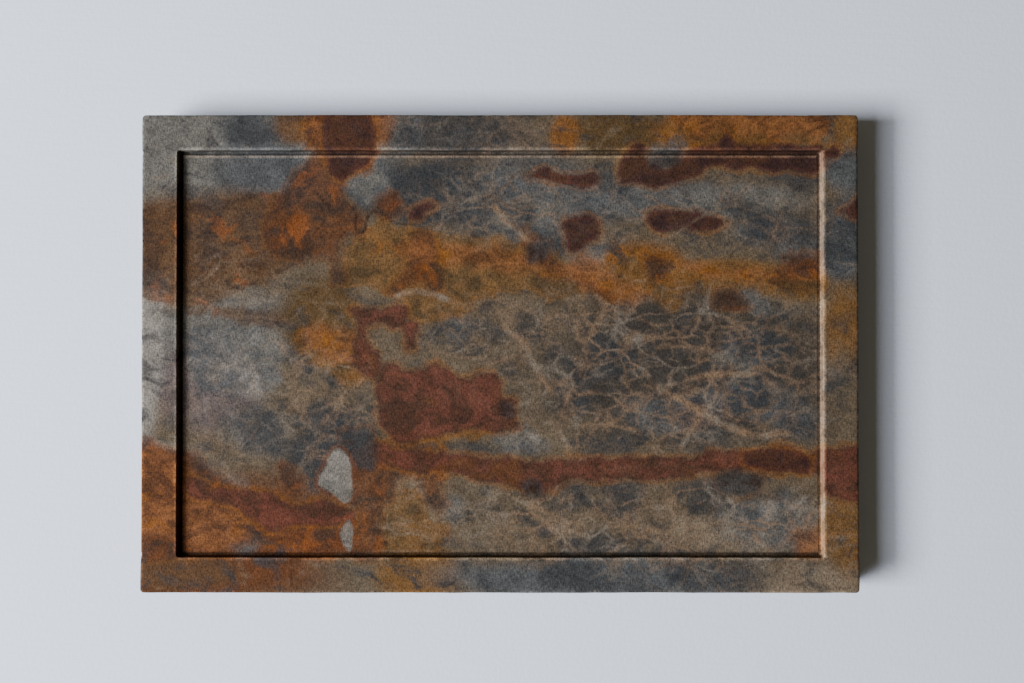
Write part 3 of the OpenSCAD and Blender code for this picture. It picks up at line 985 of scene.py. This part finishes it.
def makeCover():
    form = bmesh.new()
    flat = form.loops.layers.uv.new("clothFlat")
    outVerts = [form.verts.new(p * mm) for p in shaped]
    for side, corners in outFaces:
        face = form.faces.new([outVerts[c] for c in corners])
        face.smooth = True
        for loop, c in zip(face.loops, corners):
            u, v = flatPlace(outPoints[c], outPlan[c], outDrops[c], side, size)
            loop[flat].uv = (u * mm, v * mm)
    inVerts = [form.verts.new(p * mm) for p in inPoints]
    for side, corners in inFaces:
        face = form.faces.new([inVerts[c] for c in reversed(corners)])
        face.smooth = True
        for loop in face.loops:
            loop[flat].uv = (loop.vert.co.x, loop.vert.co.y)
    ends = [form.edges.get((verts[end[k]], verts[end[(k + 1) % len(end)]]))
            for verts, end in ((outVerts, outEnd), (inVerts, inEnd)) for k in range(len(end))]
    bmesh.ops.bridge_loops(form, edges=ends)
    return finishForm(form, "cover cloth")


# bands of painted shade and painted highlight along the edges: middle and width in millimetres, and strength
paintedLightBands = {
    # painted shade: the dark line in the groove at the foot of the field's wall, and along the bottom edge
    # where the cloth turns under
    "groove": (0.9, 0.75, 1.0),
    "under": (0.3, 1.1, 0.8),
    # painted highlight: pale lines on the rim's inner edge, near the back edge of the field, on the lit right
    # wall and on the top's outer edge
    "rimHighlight": (-0.45, 0.40, 0.8),
    "lip": (2.0, 0.45, 0.7),
    "rightWallHighlight": (0.1, 0.55, 1.0),
    "outerEdgeHighlight": (0, 0.7, 0.45),
}


def paintedLightBand(name, distance):
    middle, width, strength = paintedLightBands[name]
    return band(distance, middle, width) * strength


def layDyesAndPaintedLight(mesh):
    # the chart's values on every face corner, read at the cloth's flat place, and bands of painted shade and
    # painted highlight along the edges
    uv = np.empty(len(mesh.loops) * 2)
    mesh.uv_layers["clothFlat"].data.foreach_get("uv", uv)
    u, v = uv.reshape(-1, 2).T / mm
    # the flat cloth is a wall's height larger all round than the plan that the stains were placed on
    extra = size["top"] - size["field"]
    (fromX, overX), (fromY, overY) = cover["spreadX"], cover["spreadY"]
    fadeX = np.clip((np.abs(u) - size["halfWide"] + fromX) / overX, 0, 1)
    fadeY = np.clip((np.abs(v) - size["halfDeep"] + fromY) / overY, 0, 1)
    rise = np.clip(np.maximum(np.abs(u) - size["halfWide"] + size["rim"],
                              np.abs(v) - size["halfDeep"] + size["rim"]) / extra, 0, 1)
    x = u - np.sign(u) * extra * fadeX * rise
    y = v - np.sign(v) * extra * fadeY * rise
    values = {name + "Edge": readChart(clothChart[name], x, y) for name in stains}
    for name in ("darkLine", "paleLine", "crumple"):
        values[name] = readChart(clothChart[name], x, y)
    corners = np.empty(len(mesh.loops), int)
    mesh.loops.foreach_get("vertex_index", corners)
    places = np.empty(len(mesh.vertices) * 3)
    mesh.vertices.foreach_get("co", places)
    px, py, pz = places.reshape(-1, 3)[corners].T / mm
    insetX, insetY = size["halfWide"] - np.abs(px), size["halfDeep"] - np.abs(py)
    level = np.minimum(insetX, insetY) - size["rim"]
    shown = pz > size["field"] - 2
    # painted shade: dark in the groove at the foot of the field's wall, less on the lit right side, and along
    # the bottom edge
    groove = paintedLightBand("groove", level) * shown * np.where((px > 0) & (insetX < insetY), 0.2, 1.0)
    under = paintedLightBand("under", pz - size["under"])
    # painted highlight: paler on the rim's inner edge, near the back edge of the field, on the lit right wall
    # and on the top's outer edge
    rimHighlight = paintedLightBand("rimHighlight", level) * shown
    lip = paintedLightBand("lip", level) * shown * (py > 0) * (insetY < insetX)
    rightWallHighlight = paintedLightBand("rightWallHighlight", insetX - size["rim"]) * shown * (px > 0) * (insetY > size["rim"])
    outerEdgeHighlight = paintedLightBand("outerEdgeHighlight", np.minimum(insetX, insetY)) * (pz > size["top"] - 1.6)
    # the painted shade and the two painted highlights, kept as attributes of the cloth
    values["paintedShade"] = np.maximum(groove, under)
    values["lip"] = np.maximum(lip, rightWallHighlight)
    values["edgeHighlight"] = np.maximum(rimHighlight, outerEdgeHighlight)
    for name, value in values.items():
        mesh.attributes.new(name, "FLOAT", "CORNER").data.foreach_set("value", value)
    layer = mesh.attributes.new("wash", "FLOAT_COLOR", "CORNER")
    colour = np.ones((len(x), 4))
    colour[:, :3] = readChart(clothChart["wash"], x, y)
    layer.data.foreach_set("color", colour.ravel())


clothLook = {
    "weavePitch": 0.00092,
    "speckle": 0.9,         # contrast of the threads
    "mottle": 0.55,         # contrast of the cloudy patches
    "roughness": 0.78,
    "sheen": 0.06,
    "bump": 0.00014,
    "bumpStrength": 0.6,
    "smokeShare": 0.85,
    "veinsOverStains": 0.22,
    "darkLineShare": 0.75,
    "paintedWallHighlight": 0.5,        # how much paler the painted highlight makes the lit wall of the field and the back lip
    # strength and colour of the painted shade in the groove and along the bottom edge
    "paintedShadeShare": 0.45,
    "paintedShade": (0.008, 0.007, 0.006),
}


def clothMaterial():
    material, tree, shader = newMaterial("rust dyed cloth")
    flat = add(tree, "ShaderNodeUVMap", uv_map="clothFlat").outputs["UV"]

    def attribute(name, output="Fac"):
        return add(tree, "ShaderNodeAttribute", attribute_name=name).outputs[output]

    colour = attribute("wash", "Color")
    patches = cloudy(tree, stretched(tree, flat, (1, 1, 1), move=(0.7, 0.2, 0)), 130, 4.0, 0.65, 0.3)
    fine = cloudy(tree, stretched(tree, flat, (1, 1, 1), move=(0.1, 0.9, 0)), 420, 3.0, 0.6)

    def multiplied(base, value, low, high):
        share = remap(tree, value, 0.25, 0.75, low, high, smooth=False)
        scale = add(tree, "ShaderNodeCombineColor", {"Red": share, "Green": share, "Blue": share}).outputs[0]
        return blend(tree, 1.0, base, scale, "MULTIPLY")

    # dark smoke and pale crumpled lines over the washes
    smoke = cloudy(tree, stretched(tree, flat, (0.75, 1.1, 1)), 95, 5.0, 0.62, 0.9)
    drift = cloudy(tree, stretched(tree, flat, (1, 1, 1), move=(3, 1, 0)), 34, 3.0, 0.6, 0.5)
    smokePlace = useGroup(tree, stainEdge, Vector=flat, Edge=attribute("smokeEdge"), Wander=3.4, Softness=3.0)
    placed = times(tree, smokePlace.outputs[0], remap(tree, smoke, 0.30, 0.60, 0.35, 1.0))
    loose = times(tree, remap(tree, smoke, 0.48, 0.64), remap(tree, drift, 0.35, 0.6, 0.30, 0.80))
    colour = blend(tree, maths(tree, "MAXIMUM", times(tree, placed, clothLook["smokeShare"]), loose),
                   colour, dyes["slateDark"])
    colour = blend(tree, remap(tree, smoke, 0.44, 0.30, 0, 0.35), colour, dyes["tanPale"])

    def veins(scale, width, angle, move, low, high):
        # thin wandering lines that come and go
        place = stretched(tree, flat, (0.8, 1.15, 1), angle=angle, move=move)
        lines = useGroup(tree, crackle, Vector=place, Scale=scale, Width=width, Crumple=0.016).outputs[0]
        shown = cloudy(tree, stretched(tree, flat, (1, 1, 1), move=move), scale * 0.9, 2.0, 0.5, 0.4)
        return times(tree, lines, remap(tree, shown, low, high))

    network = maths(tree, "MAXIMUM", veins(40, 0.055, 0.5, (2, 5, 0), 0.30, 0.50),
                    times(tree, veins(72, 0.085, -0.6, (9, 1, 0), 0.34, 0.54), 0.85))
    network = maths(tree, "MAXIMUM", network,
                    times(tree, veins(135, 0.15, 0.2, (4, 7, 0), 0.36, 0.58), 0.6))
    crumpled = times(tree, network, attribute("crumple"))
    crumpled = times(tree, crumpled, remap(tree, patches, 0.28, 0.52, 0.25, 0.60))

    ember = cloudy(tree, stretched(tree, flat, (1, 1, 1), move=(6, 4, 0)), 70, 4.0, 0.6, 0.5)

    def stain(name, wander, softness, inside, deeper, glow, tide, halo, shares):
        # one kind of stain: three colours inside, the tide line on its edge and the halo round it
        nonlocal colour
        edge = useGroup(tree, stainEdge, Vector=flat, Edge=attribute(name + "Edge"), Wander=wander,
                        Softness=softness)
        body, line, ring = edge.outputs
        if halo:
            share = times(tree, ring, remap(tree, ember, 0.35, 0.6, 0.2, shares[2]))
            colour = blend(tree, share, colour, dyes[halo])
        mixed = blend(tree, remap(tree, smoke, 0.40, 0.62), dyes[inside], dyes[deeper])
        mixed = blend(tree, remap(tree, ember, 0.54, 0.68), mixed, dyes[glow])
        colour = blend(tree, times(tree, body, shares[0]), colour, mixed)
        if tide:
            share = times(tree, line, remap(tree, patches, 0.35, 0.55, 0.2, shares[1]))
            colour = blend(tree, share, colour, dyes[tide])

    veinColour = blend(tree, remap(tree, ember, 0.38, 0.54), dyes["veinGrey"], dyes["vein"])
    stain("mist", 3.0, 3.0, "warmGrey", "slate", "paleGrey", None, None, (0.75, 0, 0))
    stain("ochre", 2.8, 3.2, "ochre", "ochreDark", "orange", "orange", None, (0.85, 0.25, 0))
    stain("brown", 2.6, 2.6, "brown", "brownDark", "rustOrange", "brownDark", None, (0.72, 0.3, 0))
    colour = blend(tree, crumpled, colour, veinColour)
    stain("rust", 2.4, 2.6, "rust", "brownDark", "rustOrange", "rustDark", "orange", (0.85, 0.15, 0.22))
    stain("glow", 2.8, 3.4, "ember", "rust", "orange", None, None, (0.70, 0, 0))
    stain("red", 1.8, 1.5, "maroonRed", "rustDark", "rust", "rustDark", "orange", (0.90, 0.4, 0.4))
    stain("maroon", 1.3, 1.1, "rustDark", "maroon", "maroon", "maroonRed", "orange", (0.94, 0.3, 0.4))
    colour = blend(tree, times(tree, crumpled, clothLook["veinsOverStains"]), colour, veinColour)
    stain("slate", 1.8, 2.2, "slateDark", "umber", "slateDark", None, "rust", (0.8, 0, 0.3))
    stain("pale", 0.8, 0.7, "paleGrey", "warmGrey", "paleGrey", None, "rustOrange", (0.8, 0, 0.4))

    darkLine = remap(tree, attribute("darkLine"), 0.35, 0.8)
    colour = blend(tree, times(tree, darkLine, clothLook["darkLineShare"]), colour, dyes["umber"])
    paleLine = remap(tree, attribute("paleLine"), 0.25, 0.75)
    paleShare = times(tree, paleLine, remap(tree, patches, 0.28, 0.52, 0.45, 0.85))
    colour = blend(tree, paleShare, colour, veinColour)

    # painted highlight: the rim's inner edge and the top's outer edge made up to 2.2 times paler
    edgeHighlit = times(tree, attribute("edgeHighlight"), remap(tree, patches, 0.3, 0.6, 0.15, 0.7))
    colour = multiplied(colour, maths(tree, "ADD", times(tree, edgeHighlit, 0.9), 0.25), 1.0, 2.2)
    # painted highlight: the lit right wall and the back edge of the field made paler and nearer the vein
    # colour
    bright = times(tree, attribute("lip"), remap(tree, patches, 0.3, 0.6, 0.6, 1.0))
    bright = times(tree, bright, clothLook["paintedWallHighlight"])
    colour = blend(tree, bright, colour, dyes["vein"])
    colour = multiplied(colour, maths(tree, "ADD", bright, 0.25), 1.0, 2.6)
    # painted shade: near black in the groove at the wall's foot and along the bottom edge
    paintedShadeMask = times(tree, attribute("paintedShade"), clothLook["paintedShadeShare"])
    colour = blend(tree, paintedShadeMask, colour, clothLook["paintedShade"])

    colour = multiplied(colour, patches, 1 - clothLook["mottle"] / 2, 1 + clothLook["mottle"] / 2)
    colour = multiplied(colour, fine, 0.88, 1.12)
    threads = useGroup(tree, weave, Vector=flat, Pitch=clothLook["weavePitch"])
    colour = multiplied(colour, threads.outputs["Shade"], 1 - clothLook["speckle"], 1 + clothLook["speckle"])
    tree.links.new(colour, shader.inputs["Base Color"])
    rough = remap(tree, fine, 0.3, 0.7, clothLook["roughness"] - 0.08, clothLook["roughness"] + 0.1)
    tree.links.new(rough, shader.inputs["Roughness"])
    shader.inputs["Specular IOR Level"].default_value = clothLook["sheen"]
    height = maths(tree, "ADD", threads.outputs["Height"], times(tree, fine, 0.8))
    bumped(tree, shader, height, clothLook["bump"], clothLook["bumpStrength"])
    return material


coverMesh = makeCover()
layDyesAndPaintedLight(coverMesh)
coverCloth = newObject("coverCloth", coverMesh, clothMaterial())
print("stage: cover cloth,", len(coverMesh.polygons), "faces")

# spread flat, the cloth also holds the wall of the field, the side and the turned-in edge at each end
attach(coverCloth, "root")
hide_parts("cover_cloth")

# the underside lining: a thin cloth with cut edges that have begun to fray
lining = {
    "spacing": 2.6,         # millimetres between the mesh lines
    "ripple": 0.10,
    "hole": 1.7,            # half width of the holes for the feet's screws
    "waver": 0.35,          # how far the cut edge wanders, in millimetres
    "threadSpacing": 0.0017,
    "threadLength": 0.0016,
    "threadRadius": 0.00011,
    "threadSplay": 0.6,     # the most that a thread turns along the edge, in radians
    "threadLift": 0.12,
    "threadSeed": 7,
    "shortest": 0.35,       # share of the thread's length
    "pitch": 0.0008,
    "dark": (0.030, 0.027, 0.024),
    "light": (0.085, 0.078, 0.070),
    "faded": (0.12, 0.105, 0.09),
    "roughness": (0.82, 0.92),
    "sheen": 0.12,
    "threadDark": (0.04, 0.036, 0.03),
    "threadLight": (0.13, 0.12, 0.10),
}

# the eight mesh corners round a screw hole, in turn
holeRing = [(1, 0), (1, 1), (0, 1), (-1, 1), (-1, 0), (-1, -1), (0, -1), (1, -1)]


def makeLining():
    halfWide, halfDeep = liningHigh.x / mm, liningHigh.y / mm
    low, high = liningLow.z / mm, liningHigh.z / mm
    nx, ny = int(2 * halfWide / lining["spacing"]), int(2 * halfDeep / lining["spacing"])
    gx, gy = np.meshgrid(np.linspace(-1, 1, nx + 1), np.linspace(-1, 1, ny + 1), indexing="ij")
    edgeX = lining["waver"] * (roughField(gy * 90, gx * 0 + 5, 14, 60) - 0.5) * np.abs(gx) ** 30
    edgeY = lining["waver"] * (roughField(gx * 140, gy * 0 + 9, 14, 64) - 0.5) * np.abs(gy) ** 30
    x, y = gx * (halfWide - 0.1 + edgeX), gy * (halfDeep - 0.1 + edgeY)
    ripple = (roughField(x + 200, y + 200, 30, 70) - 0.5) * lining["ripple"] * 2
    spots = [[(a + b) / 2 / mm for a, b in zip(*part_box("foot_" + name))]
             for name in ("front_left", "front_right", "back_left", "back_right")]
    away = np.min([np.hypot(x - cx, y - cy) for cx, cy, _ in spots], axis=0)
    calm = np.clip((away - 8) / 10, 0, 1) * (1 - np.maximum(np.abs(gx), np.abs(gy)) ** 8)
    under = low + (lining["ripple"] - ripple) * calm
    holes, middles = set(), []
    for cx, cy, _ in spots:
        i, j = np.unravel_index(np.argmin(np.hypot(x - cx, y - cy)), x.shape)
        middles.append((i, j))
        holes |= {(i - 1, j - 1), (i - 1, j), (i, j - 1), (i, j)}
        for di, dj in holeRing:
            turn = math.atan2(dj, di)
            x[i + di, j + dj] = cx + lining["hole"] * math.cos(turn)
            y[i + di, j + dj] = cy + lining["hole"] * math.sin(turn)
    form = bmesh.new()
    flat = form.loops.layers.uv.new("liningFlat")
    layers = []
    for z in (under, np.full_like(x, high)):
        layers.append([[form.verts.new((x[i, j] * mm, y[i, j] * mm, z[i, j] * mm)) for j in range(ny + 1)]
                       for i in range(nx + 1)])
    for layer, flip in ((layers[0], True), (layers[1], False)):
        for i in range(nx):
            for j in range(ny):
                if (i, j) in holes:
                    continue
                corners = [layer[i][j], layer[i + 1][j], layer[i + 1][j + 1], layer[i][j + 1]]
                form.faces.new(corners[::-1] if flip else corners)
    rim = ([(i, 0) for i in range(nx)] + [(nx, j) for j in range(ny)] + [(i, ny) for i in range(nx, 0, -1)]
           + [(0, j) for j in range(ny, 0, -1)])
    for (a, b), (c, d) in zip(rim, rim[1:] + rim[:1]):
        form.faces.new((layers[0][a][b], layers[0][c][d], layers[1][c][d], layers[1][a][b]))
    for i, j in middles:
        for (a, b), (c, d) in zip(holeRing, holeRing[1:] + holeRing[:1]):
            form.faces.new((layers[0][i + c][j + d], layers[0][i + a][j + b],
                            layers[1][i + a][j + b], layers[1][i + c][j + d]))
        for layer in layers:
            form.verts.remove(layer[i][j])
    for face in form.faces:
        face.smooth = True
        for loop in face.loops:
            loop[flat].uv = (loop.vert.co.x, loop.vert.co.y + loop.vert.co.z)
    edge = [(x[i, j] * mm, y[i, j] * mm, (low + high) / 2 * mm) for i, j in rim]
    return finishForm(form, "liningCloth"), edge


def liningMaterial():
    material, tree, shader = newMaterial("dark lining cloth")
    flat = add(tree, "ShaderNodeUVMap", uv_map="liningFlat").outputs["UV"]
    threads = useGroup(tree, weave, Vector=flat, Pitch=lining["pitch"])
    fade = cloudy(tree, flat, 24, 3.0, 0.6)
    shade = blend(tree, remap(tree, threads.outputs["Shade"], 0.3, 0.7), lining["dark"], lining["light"])
    faded = blend(tree, remap(tree, fade, 0.45, 0.7, 0, 0.35), shade, lining["faded"])
    tree.links.new(faded, shader.inputs["Base Color"])
    tree.links.new(remap(tree, fade, 0.3, 0.7, *lining["roughness"]), shader.inputs["Roughness"])
    shader.inputs["Specular IOR Level"].default_value = lining["sheen"]
    bumped(tree, shader, threads.outputs["Height"], 0.00012, 0.7)
    return material


def threadTree(material):
    # loose threads spaced along an edge, each bent out of line by its own random turn
    tree = bpy.data.node_groups.new("loose threads", "GeometryNodeTree")
    sockets = {"Geometry": "Geometry", "Spacing": "Float", "Length": "Float", "Radius": "Float",
               "Splay": "Float", "Lift": "Float", "Seed": "Int"}
    for label, kind in sockets.items():
        tree.interface.new_socket(label, in_out="INPUT", socket_type="NodeSocket" + kind)
    tree.interface.new_socket("Geometry", in_out="OUTPUT", socket_type="NodeSocketGeometry")
    given = tree.nodes.new("NodeGroupInput").outputs
    curve = add(tree, "GeometryNodeMeshToCurve", {0: given["Geometry"]}).outputs[0]
    dots = add(tree, "GeometryNodeCurveToPoints", {"Curve": curve, "Length": given["Spacing"]},
               mode="LENGTH").outputs
    tip = add(tree, "ShaderNodeCombineXYZ", {0: given["Length"]}).outputs[0]
    line = add(tree, "GeometryNodeCurvePrimitiveLine", {"End": tip}).outputs[0]
    ring = add(tree, "GeometryNodeCurvePrimitiveCircle", {"Resolution": 4, "Radius": given["Radius"]})
    tube = add(tree, "GeometryNodeCurveToMesh",
               {"Curve": line, "Profile Curve": ring.outputs[0], "Fill Caps": True}).outputs[0]
    most = add(tree, "ShaderNodeCombineXYZ", {1: given["Splay"], 2: given["Lift"]}).outputs[0]
    least = add(tree, "ShaderNodeVectorMath", {0: most, "Scale": -1}, operation="SCALE").outputs[0]
    bend = add(tree, "FunctionNodeRandomValue", data_type="FLOAT_VECTOR")
    for key, value in (("Min", least), ("Max", most), ("Seed", given["Seed"])):
        put(tree, bend.inputs[key], value)
    turn = add(tree, "FunctionNodeRotateRotation",
               {"Rotation": dots["Rotation"], "Rotate By": bend.outputs["Value"]},
               rotation_space="LOCAL").outputs[0]
    share = add(tree, "FunctionNodeRandomValue", {2: lining["shortest"], 3: 1.0}, data_type="FLOAT")
    place = add(tree, "GeometryNodeInstanceOnPoints",
                {"Points": dots["Points"], "Instance": tube, "Rotation": turn, "Scale": share.outputs[1]})
    solid = add(tree, "GeometryNodeRealizeInstances", {0: place.outputs[0]}).outputs[0]
    paint = add(tree, "GeometryNodeSetMaterial", {"Geometry": solid, "Material": material})
    add(tree, "NodeGroupOutput", {0: paint.outputs[0]})
    return tree


def threadMaterial():
    material, tree, shader = newMaterial("lining thread")
    place = add(tree, "ShaderNodeTexCoord").outputs["Object"]
    twist = cloudy(tree, place, 900, 2.0, 0.5)
    shade = blend(tree, remap(tree, twist, 0.35, 0.65), lining["threadDark"], lining["threadLight"])
    tree.links.new(shade, shader.inputs["Base Color"])
    shader.inputs["Roughness"].default_value = 0.9
    shader.inputs["Specular IOR Level"].default_value = 0.1
    bumped(tree, shader, twist, 0.00005)
    return material


def makeThreads(edge):
    path = bpy.data.meshes.new("liningEdge")
    path.from_pydata(edge, [(i, (i + 1) % len(edge)) for i in range(len(edge))], [])
    worker = newObject("threadWorker", path)
    modifier = worker.modifiers.new("threads", "NODES")
    modifier.node_group = threadTree(threadMaterial())
    values = {"Spacing": lining["threadSpacing"], "Length": lining["threadLength"],
              "Radius": lining["threadRadius"], "Splay": lining["threadSplay"],
              "Lift": lining["threadLift"], "Seed": lining["threadSeed"]}
    for item in modifier.node_group.interface.items_tree:
        if item.in_out == "INPUT" and item.name in values:
            modifier[item.identifier] = values[item.name]
    bpy.context.view_layer.update()
    shape = worker.evaluated_get(bpy.context.evaluated_depsgraph_get())
    mesh = bpy.data.meshes.new_from_object(shape)
    bpy.data.objects.remove(worker)
    return newObject("liningThreads", mesh)


liningMesh, liningEdge = makeLining()
liningCloth = newObject("undersideLining", liningMesh, liningMaterial())
liningThreads = makeThreads(liningEdge)
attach(liningCloth, "root")
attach(liningThreads, "root")
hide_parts("underside_lining")
print("stage: lining and its", len(liningThreads.data.polygons), "thread faces")

# rubber feet, turned shapes with a well for the screw; shares of the foot's radius or height
foot = {
    "well": 0.507,
    "hole": 0.21,
    "web": 0.266,
    "tip": 0.87,
    "lip": 0.07,
    "grooveAt": 0.69,
    "grooveDeep": 0.09,
    "segments": 72,
    "black": (0.016, 0.016, 0.017),
    "dusty": (0.075, 0.072, 0.068),
    "roughness": (0.52, 0.85),
    "sheen": 0.4,
}


def makeFoot(node):
    low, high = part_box(node)
    radius, tall = (high.x - low.x) / 2, high.z - low.z
    cx, cy = (low.x + high.x) / 2, (low.y + high.y) / 2
    lip = foot["lip"] * radius
    tip, web = foot["tip"] * radius, tall * (1 - foot["web"])
    profile = [(foot["hole"] * radius, tall), (radius - lip * 0.4, tall), (radius, tall - lip * 0.5)]
    for step in range(1, 9):
        share = step / 8
        profile.append((radius + (tip - radius) * share, tall - lip + (2 * lip - tall) * share))
    for step in range(1, 6):
        turn = math.radians(18 * step)
        profile.append((tip - lip + lip * math.cos(turn), lip - lip * math.sin(turn)))
    at, wide, deep = foot["grooveAt"] * radius, 0.05 * radius, foot["grooveDeep"] * tall
    profile += [(at + wide, 0), (at + wide * 0.5, deep), (at - wide * 0.5, deep), (at - wide, 0)]
    well = foot["well"] * radius
    profile += [(well + lip, 0), (well + lip * 0.3, lip * 0.3), (well, lip), (well, web - lip * 0.5),
                (well - lip * 0.5, web), (foot["hole"] * radius, web)]
    form = bmesh.new()
    rings = []
    for k in range(foot["segments"]):
        turn = 2 * math.pi * k / foot["segments"]
        rings.append([form.verts.new((cx + r * math.cos(turn), cy + r * math.sin(turn), low.z + z))
                      for r, z in profile])
    for k, ring in enumerate(rings):
        after = rings[(k + 1) % len(rings)]
        for i in range(len(profile)):
            j = (i + 1) % len(profile)
            face = form.faces.new((ring[i], after[i], after[j], ring[j]))
            face.smooth = True
    piece = newObject(node.replace("_", "") + "Rubber", finishForm(form, node), rubber)
    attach(piece, "root")
    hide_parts(node)


def rubberMaterial():
    material, tree, shader = newMaterial("moulded rubber")
    place = add(tree, "ShaderNodeTexCoord").outputs["Object"]
    grain = cloudy(tree, place, 1800, 3.0, 0.6)
    dust = cloudy(tree, place, 260, 4.0, 0.65)
    dusty = remap(tree, dust, 0.52, 0.72, 0, 0.6)
    tree.links.new(blend(tree, dusty, foot["black"], foot["dusty"]), shader.inputs["Base Color"])
    tree.links.new(remap(tree, dusty, 0, 0.6, *foot["roughness"]), shader.inputs["Roughness"])
    shader.inputs["Specular IOR Level"].default_value = foot["sheen"]
    bumped(tree, shader, grain, 0.00004, 0.6)
    return material


rubber = rubberMaterial()
for end in ("front", "back"):
    for side in ("left", "right"):
        makeFoot("foot_" + end + "_" + side)
print("stage: rubber feet")


# finishes of the core's pieces, which keep their own meshes
def makeGrain():
    # wood fibres along X, with growth rings across them and fine dark pores
    inputs = [("Vector", "NodeSocketVector", None), ("Rings", "NodeSocketFloat", 90.0)]
    outputs = [("Band", "NodeSocketFloat"), ("Pores", "NodeSocketFloat"), ("Height", "NodeSocketFloat")]
    tree, start, end = newGroup("wood grain", inputs, outputs)
    drift = cloudy(tree, stretched(tree, start.outputs["Vector"], (3, 22, 22)), 1.0, 2.0, 0.5, 0.8)
    waves = times(tree, drift, start.outputs["Rings"])
    band = maths(tree, "PINGPONG", times(tree, waves, 0.12), 1.0)
    fibres = cloudy(tree, stretched(tree, start.outputs["Vector"], (40, 1500, 1500)), 1.0, 3.0, 0.65)
    pores = remap(tree, cloudy(tree, stretched(tree, start.outputs["Vector"], (90, 900, 900)), 1.0, 2.0, 0.7),
                  0.60, 0.72)
    both = maths(tree, "ADD", times(tree, band, 0.65), times(tree, fibres, 0.35))
    tree.links.new(both, end.inputs["Band"])
    tree.links.new(pores, end.inputs["Pores"])
    tree.links.new(maths(tree, "SUBTRACT", fibres, pores), end.inputs["Height"])
    return tree


grain = makeGrain()

woods = {
    "rail": {"dark": (0.36, 0.19, 0.085), "light": (0.56, 0.35, 0.17), "rings": 90.0, "roughness": 0.55},
    "spacer": {"dark": (0.42, 0.26, 0.12), "light": (0.62, 0.44, 0.24), "rings": 60.0, "roughness": 0.70},
    "key": {"dark": (0.085, 0.038, 0.016), "light": (0.17, 0.085, 0.038), "rings": 120.0, "roughness": 0.50},
    "plywood": {"dark": (0.50, 0.34, 0.18), "light": (0.68, 0.51, 0.31), "rings": 40.0, "roughness": 0.65},
}


def woodMaterial(kind, alongY):
    dark, rough = woods[kind]["dark"], woods[kind]["roughness"]
    material, tree, shader = newMaterial(kind + " wood " + ("lengthwise" if alongY else "crosswise"))
    place = add(tree, "ShaderNodeTexCoord").outputs["Object"]
    if alongY:
        place = stretched(tree, place, (1, 1, 1), angle=math.pi / 2)
    lines = useGroup(tree, grain, Vector=place, Rings=woods[kind]["rings"])
    colour = blend(tree, lines.outputs["Band"], dark, woods[kind]["light"])
    if kind == "plywood":
        # the plies show as bands on the panel's edges
        height = add(tree, "ShaderNodeSeparateXYZ", {0: place}).outputs[2]
        ply = maths(tree, "PINGPONG", times(tree, height, 1000.0), 1.0)
        colour = blend(tree, remap(tree, ply, 0.4, 0.6, 0, 0.25), colour, dark)
    colour = blend(tree, times(tree, lines.outputs["Pores"], 0.55), colour,
                   tuple(v * 0.5 for v in dark))
    tree.links.new(colour, shader.inputs["Base Color"])
    gloss = remap(tree, lines.outputs["Band"], 0, 1, rough - 0.05, rough + 0.1)
    tree.links.new(gloss, shader.inputs["Roughness"])
    bumped(tree, shader, lines.outputs["Height"], 0.00008, 0.6)
    return material


zinc = {"dull": (0.50, 0.51, 0.52), "bright": (0.66, 0.66, 0.65), "roughness": (0.28, 0.50)}


def steelMaterial():
    material, tree, shader = newMaterial("zinc plated steel")
    place = add(tree, "ShaderNodeTexCoord").outputs["Object"]
    scratches = cloudy(tree, stretched(tree, place, (300, 4000, 4000), angle=0.3), 1.0, 3.0, 0.6)
    spangle = cloudy(tree, place, 700, 2.0, 0.5)
    colour = blend(tree, remap(tree, spangle, 0.35, 0.65), zinc["dull"], zinc["bright"])
    tree.links.new(colour, shader.inputs["Base Color"])
    shader.inputs["Metallic"].default_value = 1.0
    tree.links.new(remap(tree, scratches, 0.3, 0.7, *zinc["roughness"]), shader.inputs["Roughness"])
    bumped(tree, shader, scratches, 0.00002, 0.5)
    return material


steel = steelMaterial()
kinds = {"rail_wood": "rail", "spacer_wood": "spacer", "key_wood": "key", "plywood": "plywood"}
finishes = {}
for part in frame["record"]["subparts"]:
    node, slot = frame["nodes"][part["node"]], part["material_slot"]
    if node.hide_render:
        continue
    low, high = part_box(part["node"])
    if slot in kinds:
        key = (kinds[slot], high.y - low.y > high.x - low.x)
        if key not in finishes:
            finishes[key] = woodMaterial(*key)
        finish = finishes[key]
    else:
        finish = steel
    node.data.materials.clear()
    node.data.materials.append(finish)
print("stage: wood and steel,", len(finishes), "wood finishes")

floor = {
    "half": 1.6,
    "tone": (0.77, 0.77, 0.77),
    "roughness": 0.7,
    "sheen": 0.3,
    "bump": 0.00025,
    "bumpStrength": 0.7,
}


def makeFloor():
    form = bmesh.new()
    bmesh.ops.create_grid(form, x_segments=4, y_segments=4, size=floor["half"])
    mesh = bpy.data.meshes.new("floor")
    form.to_mesh(mesh)
    form.free()
    material, tree, shader = newMaterial("painted board")
    place = add(tree, "ShaderNodeTexCoord").outputs["Object"]
    brush = cloudy(tree, stretched(tree, place, (60, 420, 1), angle=0.35), 1.0, 3.0, 0.6)
    grain = cloudy(tree, place, 520, 3.0, 0.6)
    mottle = cloudy(tree, place, 3.0, 2.0, 0.5)
    tone = remap(tree, mottle, 0.3, 0.7, 0.0, 1.0)
    low, high = (tuple(v * 0.97 for v in floor["tone"]), floor["tone"])
    tree.links.new(blend(tree, tone, low, high), shader.inputs["Base Color"])
    shader.inputs["Roughness"].default_value = floor["roughness"]
    shader.inputs["Specular IOR Level"].default_value = floor["sheen"]
    height = maths(tree, "ADD", brush, times(tree, grain, 0.7))
    bumped(tree, shader, height, floor["bump"], floor["bumpStrength"])
    newObject("floor", mesh, material)


makeFloor()
print("stage: floor")
